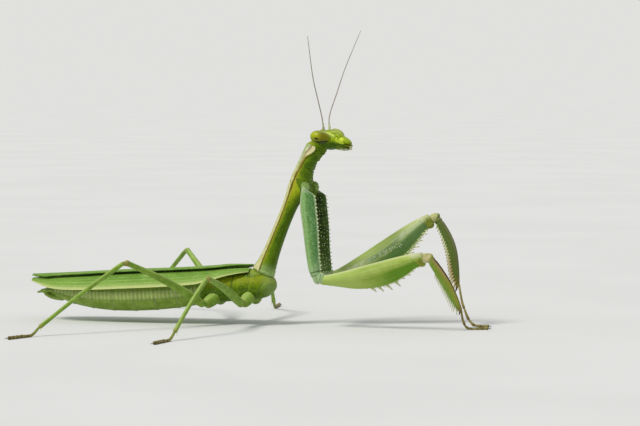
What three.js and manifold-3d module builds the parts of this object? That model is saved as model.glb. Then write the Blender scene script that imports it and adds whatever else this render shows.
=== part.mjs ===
// Praying mantis, a slender green adult female with folded wings. It stands on all six feet,
// the long fore body raised, the raptorial fore legs reaching out and down to the ground.
// Millimetres, +Z up, +X the way the body faces, +Y its left. All feet stand on z = 0.

import * as THREE from 'three';
import { mergeVertices } from 'three/addons/utils/BufferGeometryUtils.js';
import Module from 'manifold-3d';

const wasm = await Module();
wasm.setup();

const at = (x, y, z) => new THREE.Vector3(x, y, z);
const UP = at(0, 0, 1);
const GAP = 0.12;                       // clearance left where one piece sits in another

// ---- driving dimensions -------------------------------------------------------------------

// Raised fore body: centre line of the prothorax, from the thorax up to the neck.
const PROTHORAX_LINE = [at(-0.7, 0, 7.8), at(3.15, 0, 17.3), at(6.35, 0, 24.8), at(8.1, 0, 28.2)];
const PROTHORAX_BACK = [
  [0, 2.15], [0.08, 1.55], [0.2, 1.23], [0.45, 1.1], [0.58, 1.2], [0.7, 1.45], [0.85, 1.4], [1, 1.5],
];
const PROTHORAX_CHEST = [
  [0, 1.95], [0.08, 1.55], [0.2, 1.23], [0.45, 1.1], [0.58, 1.4], [0.66, 2.45], [0.71, 2.2], [0.77, 1.6],
  [0.84, 1.4], [0.9, 1.65], [1, 1.85],
];
const PROTHORAX_WIDTH = [
  [0, 3.6], [0.1, 3.2], [0.27, 2.8], [0.46, 2.7], [0.6, 3.4], [0.68, 4.1], [0.8, 3.5], [1, 2.8],
];
const SHIELD_THICKNESS = 0.5;
const SHIELD_FLANGE = 0.2;              // how far the shield's rim stands out on each side

// Head: a flat triangle seen from its face, turned a little to its right.
const HEAD_CENTRE = at(9.96, -0.86, 29.41);
const HEAD_YAW = -17.5;
const HEAD_PITCH = 22.3;
const HEAD_ROLL = 2.6;
const HEAD_LENGTH = 6.15;               // crown to lip
const CROWN = -1.6;                     // along the face axis, from the line through the eyes
const HEAD_SIDE = [[0, 1.4], [0.12, 1.9], [0.3, 2.3], [0.5, 2], [0.68, 1.35], [0.85, 0.95], [1, 0.6]];
const HEAD_FACE = [[0, 0.4], [0.2, 0.75], [0.4, 0.98], [0.58, 1.05], [0.75, 0.95], [0.88, 0.8], [1, 0.4]];
const HEAD_BACK = [[0, 0.75], [0.25, 1.3], [0.46, 1.72], [0.62, 1.2], [0.8, 0.5], [1, 0.25]];
const EYE_CENTRE = at(0.15, 2.28, 0.05);
const EYE_RADII = at(1.62, 1, 0.98);     // along the face, across it, out of it
const EYE_TILT = 20;                     // lower ends turned in toward the mouth
const EYE_LIFT = 13;                     // and forward, along the slope of the face
const NECK_RADIUS = 1.15;               // the throat below swells further
const THROAT = 1.5;

// Feelers: the root on the head, and the line of each shaft from there.
const FEELER_THICKNESS = 0.5;
const FEELER_ROOT = at(-0.5, 0.8, 0.72);
const FEELER_LINE = {
  right: [at(0, 0, 0), at(0, -0.95, 1.85), at(-0.1, -3.3, 5), at(-0.15, -5.7, 8), at(0.4, -10.9, 14.3)],
  left: [at(0, 0, 0), at(-0.25, 0.8, 1.95), at(0.4, 3.2, 5.9), at(1.05, 5.2, 9.3), at(2.7, 8.9, 15.4)],
};

// Hind body.
const THORAX_REAR = at(-10, 0, 5.6);
const THORAX_WAIST = at(-5.05, 0, 5.95);
const THORAX_FRONT = at(1.5, 0, 6.3);
const SCUTUM = at(-1.75, 0, 7.75);       // dome between the wing roots
const SCUTUM_RADII = at(1.6, 1.75, 1.05);
const ABDOMEN_LINE = [at(-36.5, 0, 5), at(-30, 0, 4.4), at(-22, 0, 4.35), at(-14, 0, 4.9), at(-10.1, 0, 5.4)];
const ABDOMEN_WIDTH = [[0, 1.2], [0.08, 3.2], [0.2, 5.3], [0.4, 7.1], [0.65, 7.3], [0.85, 6.6], [1, 5.8]];
const ABDOMEN_HEIGHT = [[0, 0.9], [0.08, 2.2], [0.2, 3.8], [0.4, 5], [0.65, 5.2], [0.85, 4.9], [1, 4.5]];
const CERCUS_LENGTH = 3;

// Folded wing covers, the left one over the right.
const WING_BASE_X = -2.5;
const WING_LENGTH = 36.2;
const WING_THICKNESS = 0.5;
const WING_RIDGE = [[0, 8.8], [0.1, 8.75], [0.17, 8.5], [0.34, 8.05], [0.55, 7.65], [0.77, 7.1], [1, 6.6]];
const WING_HALF_WIDTH = [[0, 1.9], [0.15, 3.6], [0.4, 4.2], [0.7, 4.15], [0.88, 3.3], [1, 0.9]];
const WING_OVERLAP = 1.5;
const WING_DROP = 2.1;                  // from the ridge down to the outer edge

// Fore legs: coxa, femur and tibia hang in one chain from each side of the prothorax; the tibia
// bends outward by bow.
const FORE = {
  right: {
    hip: at(6.45, -1.95, 21.7), trochanter: at(8.8, -2.9, 7.5), knee: at(26.95, -5.6, 11.35),
    ankle: at(30.6, -0.3, 3.2), bow: 0.15,
    foot: [at(30.7, -0.2, 3.5), at(31, 0.35, 1.3), at(31.6, 0.7, 0.27), at(34.9, 1.1, 0.27)],
  },
  left: {
    hip: at(7.1, 2.05, 21.6), trochanter: at(8.9, 3.1, 7.4), knee: at(25.35, 6.5, 16.75),
    ankle: at(29.1, 5.05, 6.4), bow: 0.7,
    foot: [at(29.3, 5.05, 6.7), at(30.1, 4.6, 3.3), at(31.7, 4.25, 0.5), at(34.4, 4.3, 0.27)],
  },
};
const COXA_FRONT = [[0, 0.4], [0.05, 0.6], [0.11, 1.45], [0.25, 1.48], [0.45, 1.34], [0.73, 0.95], [1, 0.8]];
const COXA_REAR = [[0, 0.4], [0.1, 0.75], [0.22, 1.08], [0.45, 1.13], [0.73, 1.2], [0.9, 1.1], [1, 0.8]];
const COXA_HALF_WIDTH = [[0, 0.4], [0.15, 0.75], [0.5, 0.85], [1, 0.75]];
const FEMUR_TOP = [[0, 0.5], [0.12, 0.36], [0.3, 0.55], [0.53, 0.92], [0.75, 1.2], [0.88, 1.2], [1, 1.05]];
const FEMUR_BOTTOM = [
  [0, 0.8], [0.12, 1.6], [0.3, 2.9], [0.5, 3.35], [0.65, 2.95], [0.77, 2.1], [0.88, 1.15], [1, 0.85],
];
const FEMUR_HALF_WIDTH = [[0, 0.6], [0.14, 0.8], [0.35, 1], [0.55, 1], [0.8, 0.85], [1, 0.7]];
const TIBIA_TOP = [[0, 0.65], [0.2, 0.85], [0.5, 0.9], [0.8, 0.65], [1, 0.35]];
const TIBIA_BOTTOM = [[0, 0.5], [0.2, 0.6], [0.5, 0.65], [0.8, 0.6], [1, 0.4]];
const TIBIA_HALF_WIDTH = [[0, 0.6], [0.5, 0.58], [1, 0.36]];
const COXA_TEETH = 7;
const FEMUR_OUTER_SPINES = 4;
const FEMUR_INNER_SPINES = 6;
const TIBIA_SPINES = 6;

// Walking legs, the right ones; the left ones mirror them.
const MID_LEG = {
  hip: at(-2.2, -1.6, 4.7), trochanter: at(-3, -3.6, 3.4), knee: at(-4.6, -16.4, 8.4),
  ankle: at(-6.5, -26.3, 1.2), toe: at(-7.4, -33, 0.27),
};
const HIND_LEG = {
  hip: at(-7.6, -1.7, 4.5), trochanter: at(-9, -3.8, 3.2), knee: at(-18, -15.2, 10.5),
  ankle: at(-28, -25.5, 1.2), toe: at(-30.3, -31.8, 0.27),
};
const WALKING_COXA_RADIUS = 1.05;
const WALKING_FEMUR_RADIUS = 0.68;
const WALKING_TIBIA_RADIUS = 0.4;
const CLAW_LENGTH = 0.9;

// ---- colours --------------------------------------------------------------------------------

const skin = (color, roughness = 0.55) => new THREE.MeshStandardMaterial({ color, roughness, metalness: 0 });
const headSkin = skin(0x8fa62c, 0.4);
const eyeShell = skin(0xa5a43e, 0.18);
const mouthSkin = skin(0x767b37);
const feelerSkin = skin(0x8f8a72);
const shieldSkin = skin(0xb9bd78, 0.45);
const bodyGreen = skin(0x72870f);
const bellyGreen = skin(0x7d9a3c);
const wingGreen = skin(0x6f9a2e, 0.5);
const foreLegGreen = skin(0x9db46c, 0.45);
const coxaGreen = skin(0x7b9a62, 0.5);
const shinGreen = skin(0x7f9347, 0.5);
const walkingGreen = skin(0x86a048, 0.5);
const footBrown = skin(0x6b6038, 0.6);

// ---- shape helpers --------------------------------------------------------------------------

// A size that runs smoothly through [place, value] pairs.
function profile(pairs) {
  const slope = (i) => {
    const before = pairs[Math.max(i - 1, 0)];
    const after = pairs[Math.min(i + 1, pairs.length - 1)];
    return (after[1] - before[1]) / (after[0] - before[0]);
  };
  return (place) => {
    const t = THREE.MathUtils.clamp(place, 0, 1);
    const i = Math.max(1, pairs.findIndex((pair) => pair[0] >= t));
    const [start, from] = pairs[i - 1];
    const [end, to] = pairs[i];
    const span = end - start;
    const s = (t - start) / span;
    const ease = s * s * (3 - 2 * s);
    return from + (to - from) * ease + span * s * (1 - s) * ((1 - s) * slope(i - 1) - s * slope(i));
  };
}

const curve = (points) => new THREE.CatmullRomCurve3(points, false, 'centripetal');

// Closed solid of indexed triangles.
function solidOf(geometry) {
  const bare = new THREE.BufferGeometry();
  bare.setAttribute('position', geometry.getAttribute('position').clone());
  bare.setIndex(geometry.getIndex());
  const merged = mergeVertices(bare, 1e-5);
  const vertProperties = Float32Array.from(merged.getAttribute('position').array);
  const kept = [];
  const index = merged.getIndex().array;
  for (let i = 0; i < index.length; i += 3) {
    const [a, b, c] = [index[i], index[i + 1], index[i + 2]];
    if (a !== b && b !== c && c !== a) kept.push(a, b, c);
  }
  return new wasm.Manifold(new wasm.Mesh({ numProp: 3, vertProperties, triVerts: Uint32Array.from(kept) }));
}

function geometryOf(solid) {
  const mesh = solid.getMesh();
  const geometry = new THREE.BufferGeometry();
  geometry.setAttribute('position', new THREE.BufferAttribute(Float32Array.from(mesh.vertProperties), 3));
  geometry.setIndex(Array.from(mesh.triVerts));
  geometry.computeVertexNormals();
  return geometry;
}

// Places along a loft: two close rings in each rounded end, even steps between.
function stations(steps, [startRound, endRound]) {
  const quarter = [0.25, 1];
  const places = startRound > 0 ? quarter.map((q) => startRound * q) : [0];
  const last = 1 - endRound;
  const first = places[places.length - 1];
  for (let i = 1; i < steps; i += 1) places.push(first + (last - first) * i / steps);
  const closing = endRound > 0 ? quarter.map((q) => 1 - endRound * q).reverse() : [1];
  return places.concat(closing);
}

// Oval body swept along a path. Its half width is side, it reaches top above the path and bottom
// below it, where up says what above is. A rounded end closes as an arc over that share of the
// length, and grow makes the whole skin larger, to cut clearance for it in a neighbour.
function loft(path, { side, top, bottom, up = UP, steps = 8, sides = 12, round = [0, 0], range = [0, 1],
  domed = false, grow = 0 }) {
  const line = typeof path.getPointAt === 'function' ? path : curve(path);
  const along = (t) => range[0] + (range[1] - range[0]) * t;
  const positions = [];
  const index = [];
  const put = (point) => positions.push(point.x, point.y, point.z);
  const arc = (share) => Math.sqrt(Math.max(0, 1 - (1 - Math.min(share, 1)) ** 2));
  const ends = [at(0, 0, 0), at(0, 0, 0)];
  const places = stations(steps, round);
  for (const t of places) {
    const centre = line.getPointAt(along(t));
    const ahead = line.getTangentAt(along(t));
    const left = up.clone().cross(ahead).normalize();
    const above = ahead.clone().cross(left);
    const startShare = round[0] > 0 ? t / round[0] : 1;
    const endShare = round[1] > 0 ? (1 - t) / round[1] : 1;
    const swell = arc(startShare) * arc(endShare);
    const half = side(along(t)) * swell + grow;
    const rise = top(along(t)) * swell + grow;
    const fall = bottom(along(t)) * swell + grow;
    const middle = domed ? 0 : (rise - fall) / 2;
    const stretch = grow * (Math.max(0, 1 - endShare) - Math.max(0, 1 - startShare));
    centre.addScaledVector(ahead, stretch);
    if (t === places[0]) ends[0] = line.getPointAt(range[0]).addScaledVector(ahead, -grow);
    if (t === places[places.length - 1]) ends[1] = line.getPointAt(range[1]).addScaledVector(ahead, grow);
    if (t === places[0] && round[0] === 0) centre.addScaledVector(ahead, -grow);
    if (t === places[places.length - 1] && round[1] === 0) centre.addScaledVector(ahead, grow);
    for (let j = 0; j < sides; j += 1) {
      const angle = (j / sides) * 2 * Math.PI;
      const across = Math.cos(angle);
      const over = Math.sin(angle);
      const height = domed ? over * (over > 0 ? rise : fall) : middle + over * (rise + fall) / 2;
      put(centre.clone().addScaledVector(left, across * half).addScaledVector(above, height));
    }
  }
  const rings = places.length;
  const startPole = rings * sides;
  put(ends[0]);
  put(ends[1]);
  for (let j = 0; j < sides; j += 1) {
    const next = (j + 1) % sides;
    index.push(startPole, next, j);
    index.push(startPole + 1, (rings - 1) * sides + j, (rings - 1) * sides + next);
    for (let i = 0; i < rings - 1; i += 1) {
      const [a, b] = [i * sides + j, i * sides + next];
      index.push(a, b, b + sides);
      index.push(a, b + sides, a + sides);
    }
  }
  const geometry = new THREE.BufferGeometry();
  geometry.setAttribute('position', new THREE.Float32BufferAttribute(positions, 3));
  geometry.setIndex(index);
  return solidOf(geometry);
}

// Round limb piece with a radius that follows its own profile.
const limb = (path, radius, options) => loft(path, { side: radius, top: radius, bottom: radius, ...options });

// Curved plate of even thickness under the surface that point(along, across) gives.
function plate(point, thickness, along, across) {
  const positions = [];
  const index = [];
  const row = across + 1;
  const layer = (along + 1) * row;
  for (const depth of [0, -thickness]) {
    for (let i = 0; i <= along; i += 1) {
      for (let j = 0; j <= across; j += 1) {
        const spot = point(i / along, j / across);
        positions.push(spot.x, spot.y, spot.z + depth);
      }
    }
  }
  const quad = (a, b, c, d) => index.push(a, b, c, a, c, d);
  for (let i = 0; i < along; i += 1) {
    for (let j = 0; j < across; j += 1) {
      const a = i * row + j;
      quad(a, a + row, a + row + 1, a + 1);
      quad(a + layer, a + layer + 1, a + layer + row + 1, a + layer + row);
    }
    const [near, far] = [i * row, i * row + across];
    quad(near, near + layer, near + layer + row, near + row);
    quad(far, far + row, far + layer + row, far + layer);
  }
  for (let j = 0; j < across; j += 1) {
    const last = along * row + j;
    quad(j, j + 1, j + 1 + layer, j + layer);
    quad(last, last + layer, last + layer + 1, last + 1);
  }
  const geometry = new THREE.BufferGeometry();
  geometry.setAttribute('position', new THREE.Float32BufferAttribute(positions, 3));
  geometry.setIndex(index);
  return solidOf(geometry);
}

// Pointed spine, its root sunk in the limb.
function spine(root, direction, length, radius, sides = 5) {
  const cone = new THREE.ConeGeometry(radius, length, sides);
  cone.translate(0, length / 2, 0);
  cone.applyQuaternion(new THREE.Quaternion().setFromUnitVectors(at(0, 1, 0), direction.clone().normalize()));
  cone.translate(root.x, root.y, root.z);
  return solidOf(cone);
}

// Frame of a limb at a place on its path: the centre, ahead, left and above.
function frameAt(path, t, up) {
  const centre = path.getPointAt(t);
  const ahead = path.getTangentAt(t);
  const left = up.clone().cross(ahead).normalize();
  return { centre, ahead, left, above: ahead.clone().cross(left) };
}

const group = new THREE.Group();

// A cut can leave a loose crumb at its edge: only the main body is kept.
function mainBody(solid) {
  const bodies = solid.decompose();
  bodies.sort((a, b) => b.volume() - a.volume());
  return bodies[0];
}

function addPart(name, solid, material) {
  const mesh = new THREE.Mesh(geometryOf(mainBody(solid)), material);
  mesh.name = name;
  group.add(mesh);
}

// ---- fore body --------------------------------------------------------------------------------

const backAt = profile(PROTHORAX_BACK);
const chestAt = profile(PROTHORAX_CHEST);
const widthAt = profile(PROTHORAX_WIDTH);
const prothoraxPath = curve(PROTHORAX_LINE);
const DORSAL = at(-1, 0, 0);

const prothoraxBody = (grow) => loft(prothoraxPath, {
  side: (t) => widthAt(t) / 2 - 0.15,
  top: (t) => backAt(t) - SHIELD_THICKNESS,
  bottom: chestAt,
  up: DORSAL, steps: 10, sides: 12, round: [0.05, 0.04], grow,
});

const shieldBody = (grow) => loft(prothoraxPath, {
  side: (t) => widthAt(t) / 2 + SHIELD_FLANGE,
  top: backAt,
  bottom: () => 0.2,
  up: DORSAL, steps: 8, sides: 14, round: [0.05, 0.05], range: [0.005, 0.98], domed: true, grow,
});

// Raised shield of the mesothorax between the wing roots and the pronotum.
function scutum(grow) {
  const dome = new THREE.SphereGeometry(1, 10, 5);
  dome.rotateX(Math.PI / 2);
  dome.scale(SCUTUM_RADII.x + grow, SCUTUM_RADII.y + grow, SCUTUM_RADII.z + grow);
  dome.translate(SCUTUM.x, SCUTUM.y, SCUTUM.z);
  return solidOf(dome);
}

const mesothoraxLine = [THORAX_WAIST, THORAX_WAIST.clone().lerp(THORAX_FRONT, 0.5), THORAX_FRONT];
const mesothoraxBody = (grow) => loft(mesothoraxLine, {
  side: profile([[0, 2.7], [0.5, 2.7], [1, 2]]),
  top: profile([[0, 2.15], [1, 1.8]]),
  bottom: profile([[0, 2.3], [0.5, 2.2], [1, 1.5]]),
  steps: 3, sides: 14, round: [0, 0.35], grow,
}).add(scutum(grow));

const metathoraxFront = THORAX_WAIST.clone().setX(THORAX_WAIST.x - GAP);
const metathoraxLine = [THORAX_REAR, THORAX_REAR.clone().lerp(THORAX_WAIST, 0.5), metathoraxFront];
const metathoraxBody = (grow) => loft(metathoraxLine, {
  side: profile([[0, 2.8], [0.5, 2.95], [1, 2.75]]),
  top: profile([[0, 2.2], [1, 2.1]]),
  bottom: () => 2.3,
  steps: 3, sides: 14, grow,
});

const thoraxRoom = mesothoraxBody(GAP).add(metathoraxBody(GAP));
const mesothorax = mesothoraxBody(0);
const mesothoraxRoom = mesothoraxBody(GAP);
const prothorax = prothoraxBody(0).subtract(mesothoraxRoom);
const pronotum = shieldBody(0).subtract(prothoraxBody(GAP)).subtract(mesothoraxRoom);

// ---- head ---------------------------------------------------------------------------------------

const degrees = THREE.MathUtils.degToRad;
const headPlace = new THREE.Matrix4().makeRotationFromEuler(
  new THREE.Euler(degrees(HEAD_ROLL), degrees(HEAD_PITCH), degrees(HEAD_YAW), 'ZYX'),
).setPosition(HEAD_CENTRE);
const onHead = (x, y, z) => at(x, y, z).applyMatrix4(headPlace);
const headTurn = (x, y, z) => at(x, y, z).transformDirection(headPlace);
const faceAxis = [0, 0.5, 1].map((share) => onHead(CROWN + HEAD_LENGTH * share, 0, 0));

const headBody = (grow) => loft(faceAxis, {
  side: profile(HEAD_SIDE),
  top: profile(HEAD_FACE),
  bottom: profile(HEAD_BACK),
  up: headTurn(0, 0, 1), steps: 8, sides: 16, round: [0.09, 0.05], grow,
});

// Egg-shaped compound eye, its blunt end toward the crown.
function eye(side, grow) {
  const ball = new THREE.SphereGeometry(1, 12, 8);
  const points = ball.getAttribute('position');
  for (let i = 0; i < points.count; i += 1) {
    const [x, y, z] = [points.getX(i), points.getY(i), points.getZ(i)];
    const taper = 1 - 0.16 * x;
    const [length, width, depth] = [EYE_RADII.x + grow, EYE_RADII.y + grow, EYE_RADII.z + grow];
    points.setXYZ(i, x * length, y * taper * width, z * taper * depth);
  }
  ball.rotateY(degrees(-EYE_LIFT));
  ball.rotateZ(degrees(-side * EYE_TILT));
  ball.translate(EYE_CENTRE.x, side * EYE_CENTRE.y, EYE_CENTRE.z);
  ball.applyMatrix4(headPlace);
  return solidOf(ball);
}

// Palps, jaws and the underlip, behind and below the lip.
function mouthparts() {
  let mouth = loft([onHead(1.6, 0, -1.1), onHead(3.1, 0, -0.72), onHead(4.6, 0, -0.22)], {
    side: profile([[0, 0.8], [0.5, 0.85], [1, 0.5]]),
    top: profile([[0, 0.5], [1, 0.4]]),
    bottom: profile([[0, 0.5], [0.5, 0.48], [1, 0.36]]),
    up: headTurn(0, 0, 1), steps: 3, sides: 8, round: [0.2, 0.2],
  });
  for (const side of [-1, 1]) {
    const palp = [onHead(2.4, side * 0.75, -0.85), onHead(3.2, side, -0.8), onHead(4.2, side * 0.75, -0.45)];
    mouth = mouth.add(limb(palp, () => 0.26, { steps: 3, sides: 5, round: [0.1, 0.15] }));
  }
  return mouth;
}

function feeler(side, name) {
  const root = onHead(FEELER_ROOT.x, side * FEELER_ROOT.y, FEELER_ROOT.z);
  const points = FEELER_LINE[name].map((reach) => root.clone().add(reach));
  const radius = () => FEELER_THICKNESS / 2;
  return limb(points, radius, { up: at(1, 0, 0), steps: 8, sides: 5, round: [0.02, 0.02] });
}

const headSolid = headBody(0);
const headRoom = headBody(GAP);
const neckLine = [at(7.4, 0, 26.9), at(8.05, -0.03, 28.1), onHead(-0.75, 0, -1), onHead(-0.5, 0, 0)];
const neck = loft(neckLine, {
  side: () => NECK_RADIUS,
  top: () => NECK_RADIUS,
  bottom: profile([[0, THROAT], [0.5, THROAT + 0.1], [1, NECK_RADIUS]]),
  up: at(-0.87, 0, 0.5), steps: 3, sides: 10, round: [0.1, 0.1],
}).subtract(prothoraxBody(GAP)).subtract(shieldBody(GAP)).subtract(headRoom);

let headShell = headSolid;
for (const side of [-1, 1]) headShell = headShell.subtract(eye(side, GAP));
addPart('head', headShell, headSkin);
addPart('eye_right', eye(-1, 0), eyeShell);
addPart('eye_left', eye(1, 0), eyeShell);
addPart('mouthparts', mouthparts().subtract(headRoom), mouthSkin);
addPart('antenna_right', feeler(-1, 'right').subtract(headRoom), feelerSkin);
addPart('antenna_left', feeler(1, 'left').subtract(headRoom), feelerSkin);
addPart('neck', neck, bodyGreen);
addPart('pronotum', pronotum, shieldSkin);
addPart('prothorax', prothorax, bodyGreen);
addPart('mesothorax', mesothorax, bodyGreen);
addPart('metathorax', metathoraxBody(0), bodyGreen);

// ---- abdomen ------------------------------------------------------------------------------------

const abdomenPath = curve(ABDOMEN_LINE);
const abdomenWidth = profile(ABDOMEN_WIDTH);
const abdomenHeight = profile(ABDOMEN_HEIGHT);
const abdomenPiece = (from, to, startRound = 0, grow = 0) => loft(abdomenPath, {
  side: (t) => abdomenWidth(t) / 2,
  top: (t) => abdomenHeight(t) / 2,
  bottom: (t) => abdomenHeight(t) / 2,
  range: [from, to], steps: 4, sides: 14, round: [startRound, 0], grow,
});
const slit = GAP / abdomenPath.getLength();
addPart('abdomen_tip', abdomenPiece(0, 0.33, 0.12), bellyGreen);
addPart('abdomen_middle', abdomenPiece(0.33 + slit, 0.67), bellyGreen);
addPart('abdomen_base', abdomenPiece(0.67 + slit, 1), bellyGreen);

const abdomenTipRoom = abdomenPiece(0, 0.33, 0.12, GAP);
for (const [side, name] of [[-1, 'right'], [1, 'left']]) {
  const root = at(-34.6, side * 0.9, 4.9);
  const tip = root.clone().add(at(-0.85, side * 0.5, -0.12).setLength(CERCUS_LENGTH));
  const cercus = limb([root, root.clone().lerp(tip, 0.5), tip], profile([[0, 0.32], [0.6, 0.3], [1, 0.25]]),
    { steps: 2, sides: 6, round: [0.1, 0.15] });
  addPart(`cercus_${name}`, cercus.subtract(abdomenTipRoom), bellyGreen);
}

// ---- folded wing covers -------------------------------------------------------------------------

const ridgeAt = profile(WING_RIDGE);
const wingHalfWidth = profile(WING_HALF_WIDTH);

// Surface of a wing cover: along runs from its root to its tip, across from the outer edge in.
function wingPoint(side, along, across) {
  const half = wingHalfWidth(along);
  const inner = -Math.min(WING_OVERLAP, half * 0.6) * Math.min(1, along / 0.12);
  const out = half + (inner - half) * across;
  const drop = WING_DROP * Math.abs(out / half) ** 2.4 * Math.min(1, 0.45 + along * 2.5) * (half / 4.2);
  const lift = side > 0 ? 0.62 * (1 - THREE.MathUtils.smoothstep(out, 1.8, 3.3)) : 0;
  return at(WING_BASE_X - WING_LENGTH * along, side * out, ridgeAt(along) - drop + lift);
}

for (const [side, name] of [[-1, 'right'], [1, 'left']]) {
  const surface = side > 0
    ? (along, across) => wingPoint(side, along, across)
    : (along, across) => wingPoint(side, along, 1 - across);
  addPart(`tegmen_${name}`, plate(surface, WING_THICKNESS, 12, 5).subtract(scutum(GAP)), wingGreen);
}

// ---- feet ---------------------------------------------------------------------------------------

const aboveFloor = new THREE.BoxGeometry(200, 200, 100);
aboveFloor.translate(0, 0, 50);
const clearOfFloor = solidOf(aboveFloor);

// Five-jointed foot that ends in a pair of claws; its sole is flat where it meets the ground.
function foot(points, length) {
  const path = curve(points);
  const joints = profile([[0, 0.3], [0.4, 0.27], [0.55, 0.3], [0.7, 0.28], [0.85, 0.3], [1, 0.26]]);
  let solid = limb(path, joints, { steps: 6, sides: 6, round: [0.05, 0.04] });
  const { centre, ahead, left } = frameAt(path, 0.97, UP);
  for (const side of [-1, 1]) {
    const direction = ahead.clone().addScaledVector(left, side * 0.55).addScaledVector(UP, -0.12);
    solid = solid.add(spine(centre, direction, length, 0.16, 4));
  }
  return solid.intersect(clearOfFloor);
}

// ---- fore legs ----------------------------------------------------------------------------------

function foreLeg(name, side) {
  const leg = FORE[name];
  const thigh = curve([leg.trochanter, leg.trochanter.clone().lerp(leg.knee, 0.5), leg.knee]);
  const shinDirection = leg.ankle.clone().sub(leg.knee).normalize();
  const thighDirection = leg.knee.clone().sub(leg.trochanter).normalize();
  const thighUp = shinDirection.clone().negate();

  // Coxa, with a row of small teeth down its front edge.
  const hipPath = curve([leg.hip, leg.hip.clone().lerp(leg.trochanter, 0.5), leg.trochanter]);
  const front = profile(COXA_FRONT);
  const coxaBody = (grow) => loft(hipPath, {
    side: profile(COXA_HALF_WIDTH), top: front, bottom: profile(COXA_REAR),
    up: at(1, 0, 0), steps: 6, sides: 10, round: [0.03, 0.05], grow,
  });
  let coxa = coxaBody(0);
  for (let i = 0; i < COXA_TEETH; i += 1) {
    const t = 0.16 + 0.74 * (i / (COXA_TEETH - 1));
    const { centre, above } = frameAt(hipPath, t, at(1, 0, 0));
    coxa = coxa.add(spine(centre.addScaledVector(above, front(t) - 0.15), above, 0.42, 0.16, 4));
  }
  coxa = coxa.subtract(prothoraxBody(GAP)).subtract(shieldBody(GAP));
  addPart(`fore_coxa_${name}`, coxa, coxaGreen);

  // Femur: deep, blade-like, with an outer and an inner row of spines below.
  const below = profile(FEMUR_BOTTOM);
  const femurBody = (grow) => loft(thigh, {
    side: profile(FEMUR_HALF_WIDTH), top: profile(FEMUR_TOP), bottom: below,
    up: thighUp, steps: 8, sides: 10, round: [0.04, 0.045], grow,
  });
  let femur = femurBody(0);
  const femurSpine = (t, across, length, radius) => {
    const { centre, ahead, left, above } = frameAt(thigh, t, thighUp);
    const root = centre.addScaledVector(above, -below(t) + 0.25).addScaledVector(left, across);
    const direction = above.clone().negate().addScaledVector(ahead, 0.45).addScaledVector(left, across * 0.5);
    femur = femur.add(spine(root, direction, length + 0.25, radius, 4));
  };
  for (let i = 0; i < FEMUR_OUTER_SPINES; i += 1) {
    femurSpine(0.5 + i * 0.09, side * 0.3, 0.85, 0.2);
  }
  for (let i = 0; i < FEMUR_INNER_SPINES; i += 1) {
    femurSpine(0.4 + i * 0.08, -side * 0.35, i % 2 ? 0.8 : 0.5, 0.17);
  }
  addPart(`fore_femur_${name}`, femur.subtract(coxaBody(GAP)), foreLegGreen);

  // Tibia: slightly bowed, spines growing longer toward the hooked end.
  const bowed = leg.knee.clone().lerp(leg.ankle, 0.45).addScaledVector(thighDirection, leg.bow);
  const shin = curve([leg.knee, bowed, leg.ankle]);
  const under = profile(TIBIA_BOTTOM);
  const tibiaBody = (grow) => loft(shin, {
    side: profile(TIBIA_HALF_WIDTH), top: profile(TIBIA_TOP), bottom: under,
    up: thighDirection, steps: 5, sides: 8, round: [0.05, 0.03], grow,
  });
  let tibia = tibiaBody(0);
  for (let i = 0; i < TIBIA_SPINES; i += 1) {
    for (const across of [-0.22, 0.22]) {
      const t = 0.22 + 0.7 * (i / (TIBIA_SPINES - 1));
      const { centre, ahead, left, above } = frameAt(shin, t, thighDirection);
      const root = centre.addScaledVector(above, -under(t) + 0.22).addScaledVector(left, across);
      const direction = above.clone().negate().addScaledVector(ahead, 0.85).addScaledVector(left, across);
      tibia = tibia.add(spine(root, direction, 0.7 + 0.55 * t, 0.15, 4));
    }
  }
  const tip = frameAt(shin, 1, thighDirection);
  const hook = [0, 0.55, 1.1].map((reach) => tip.centre.clone()
    .addScaledVector(tip.ahead, reach - 0.2).addScaledVector(tip.above, -0.1 - 0.55 * reach ** 2));
  const hookBody = (grow) => limb(hook, profile([[0, 0.34], [0.5, 0.24], [1, 0.07]]),
    { up: thighDirection, steps: 3, sides: 6, round: [0.1, 0.05], grow });
  tibia = tibia.add(hookBody(0));
  addPart(`fore_tibia_${name}`, tibia.subtract(femurBody(GAP)), shinGreen);

  const tarsus = foot(leg.foot, CLAW_LENGTH * 0.8).subtract(tibiaBody(GAP)).subtract(hookBody(GAP));
  addPart(`fore_tarsus_${name}`, tarsus, footBrown);
}

foreLeg('right', -1);
foreLeg('left', 1);

// ---- walking legs -------------------------------------------------------------------------------

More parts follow.
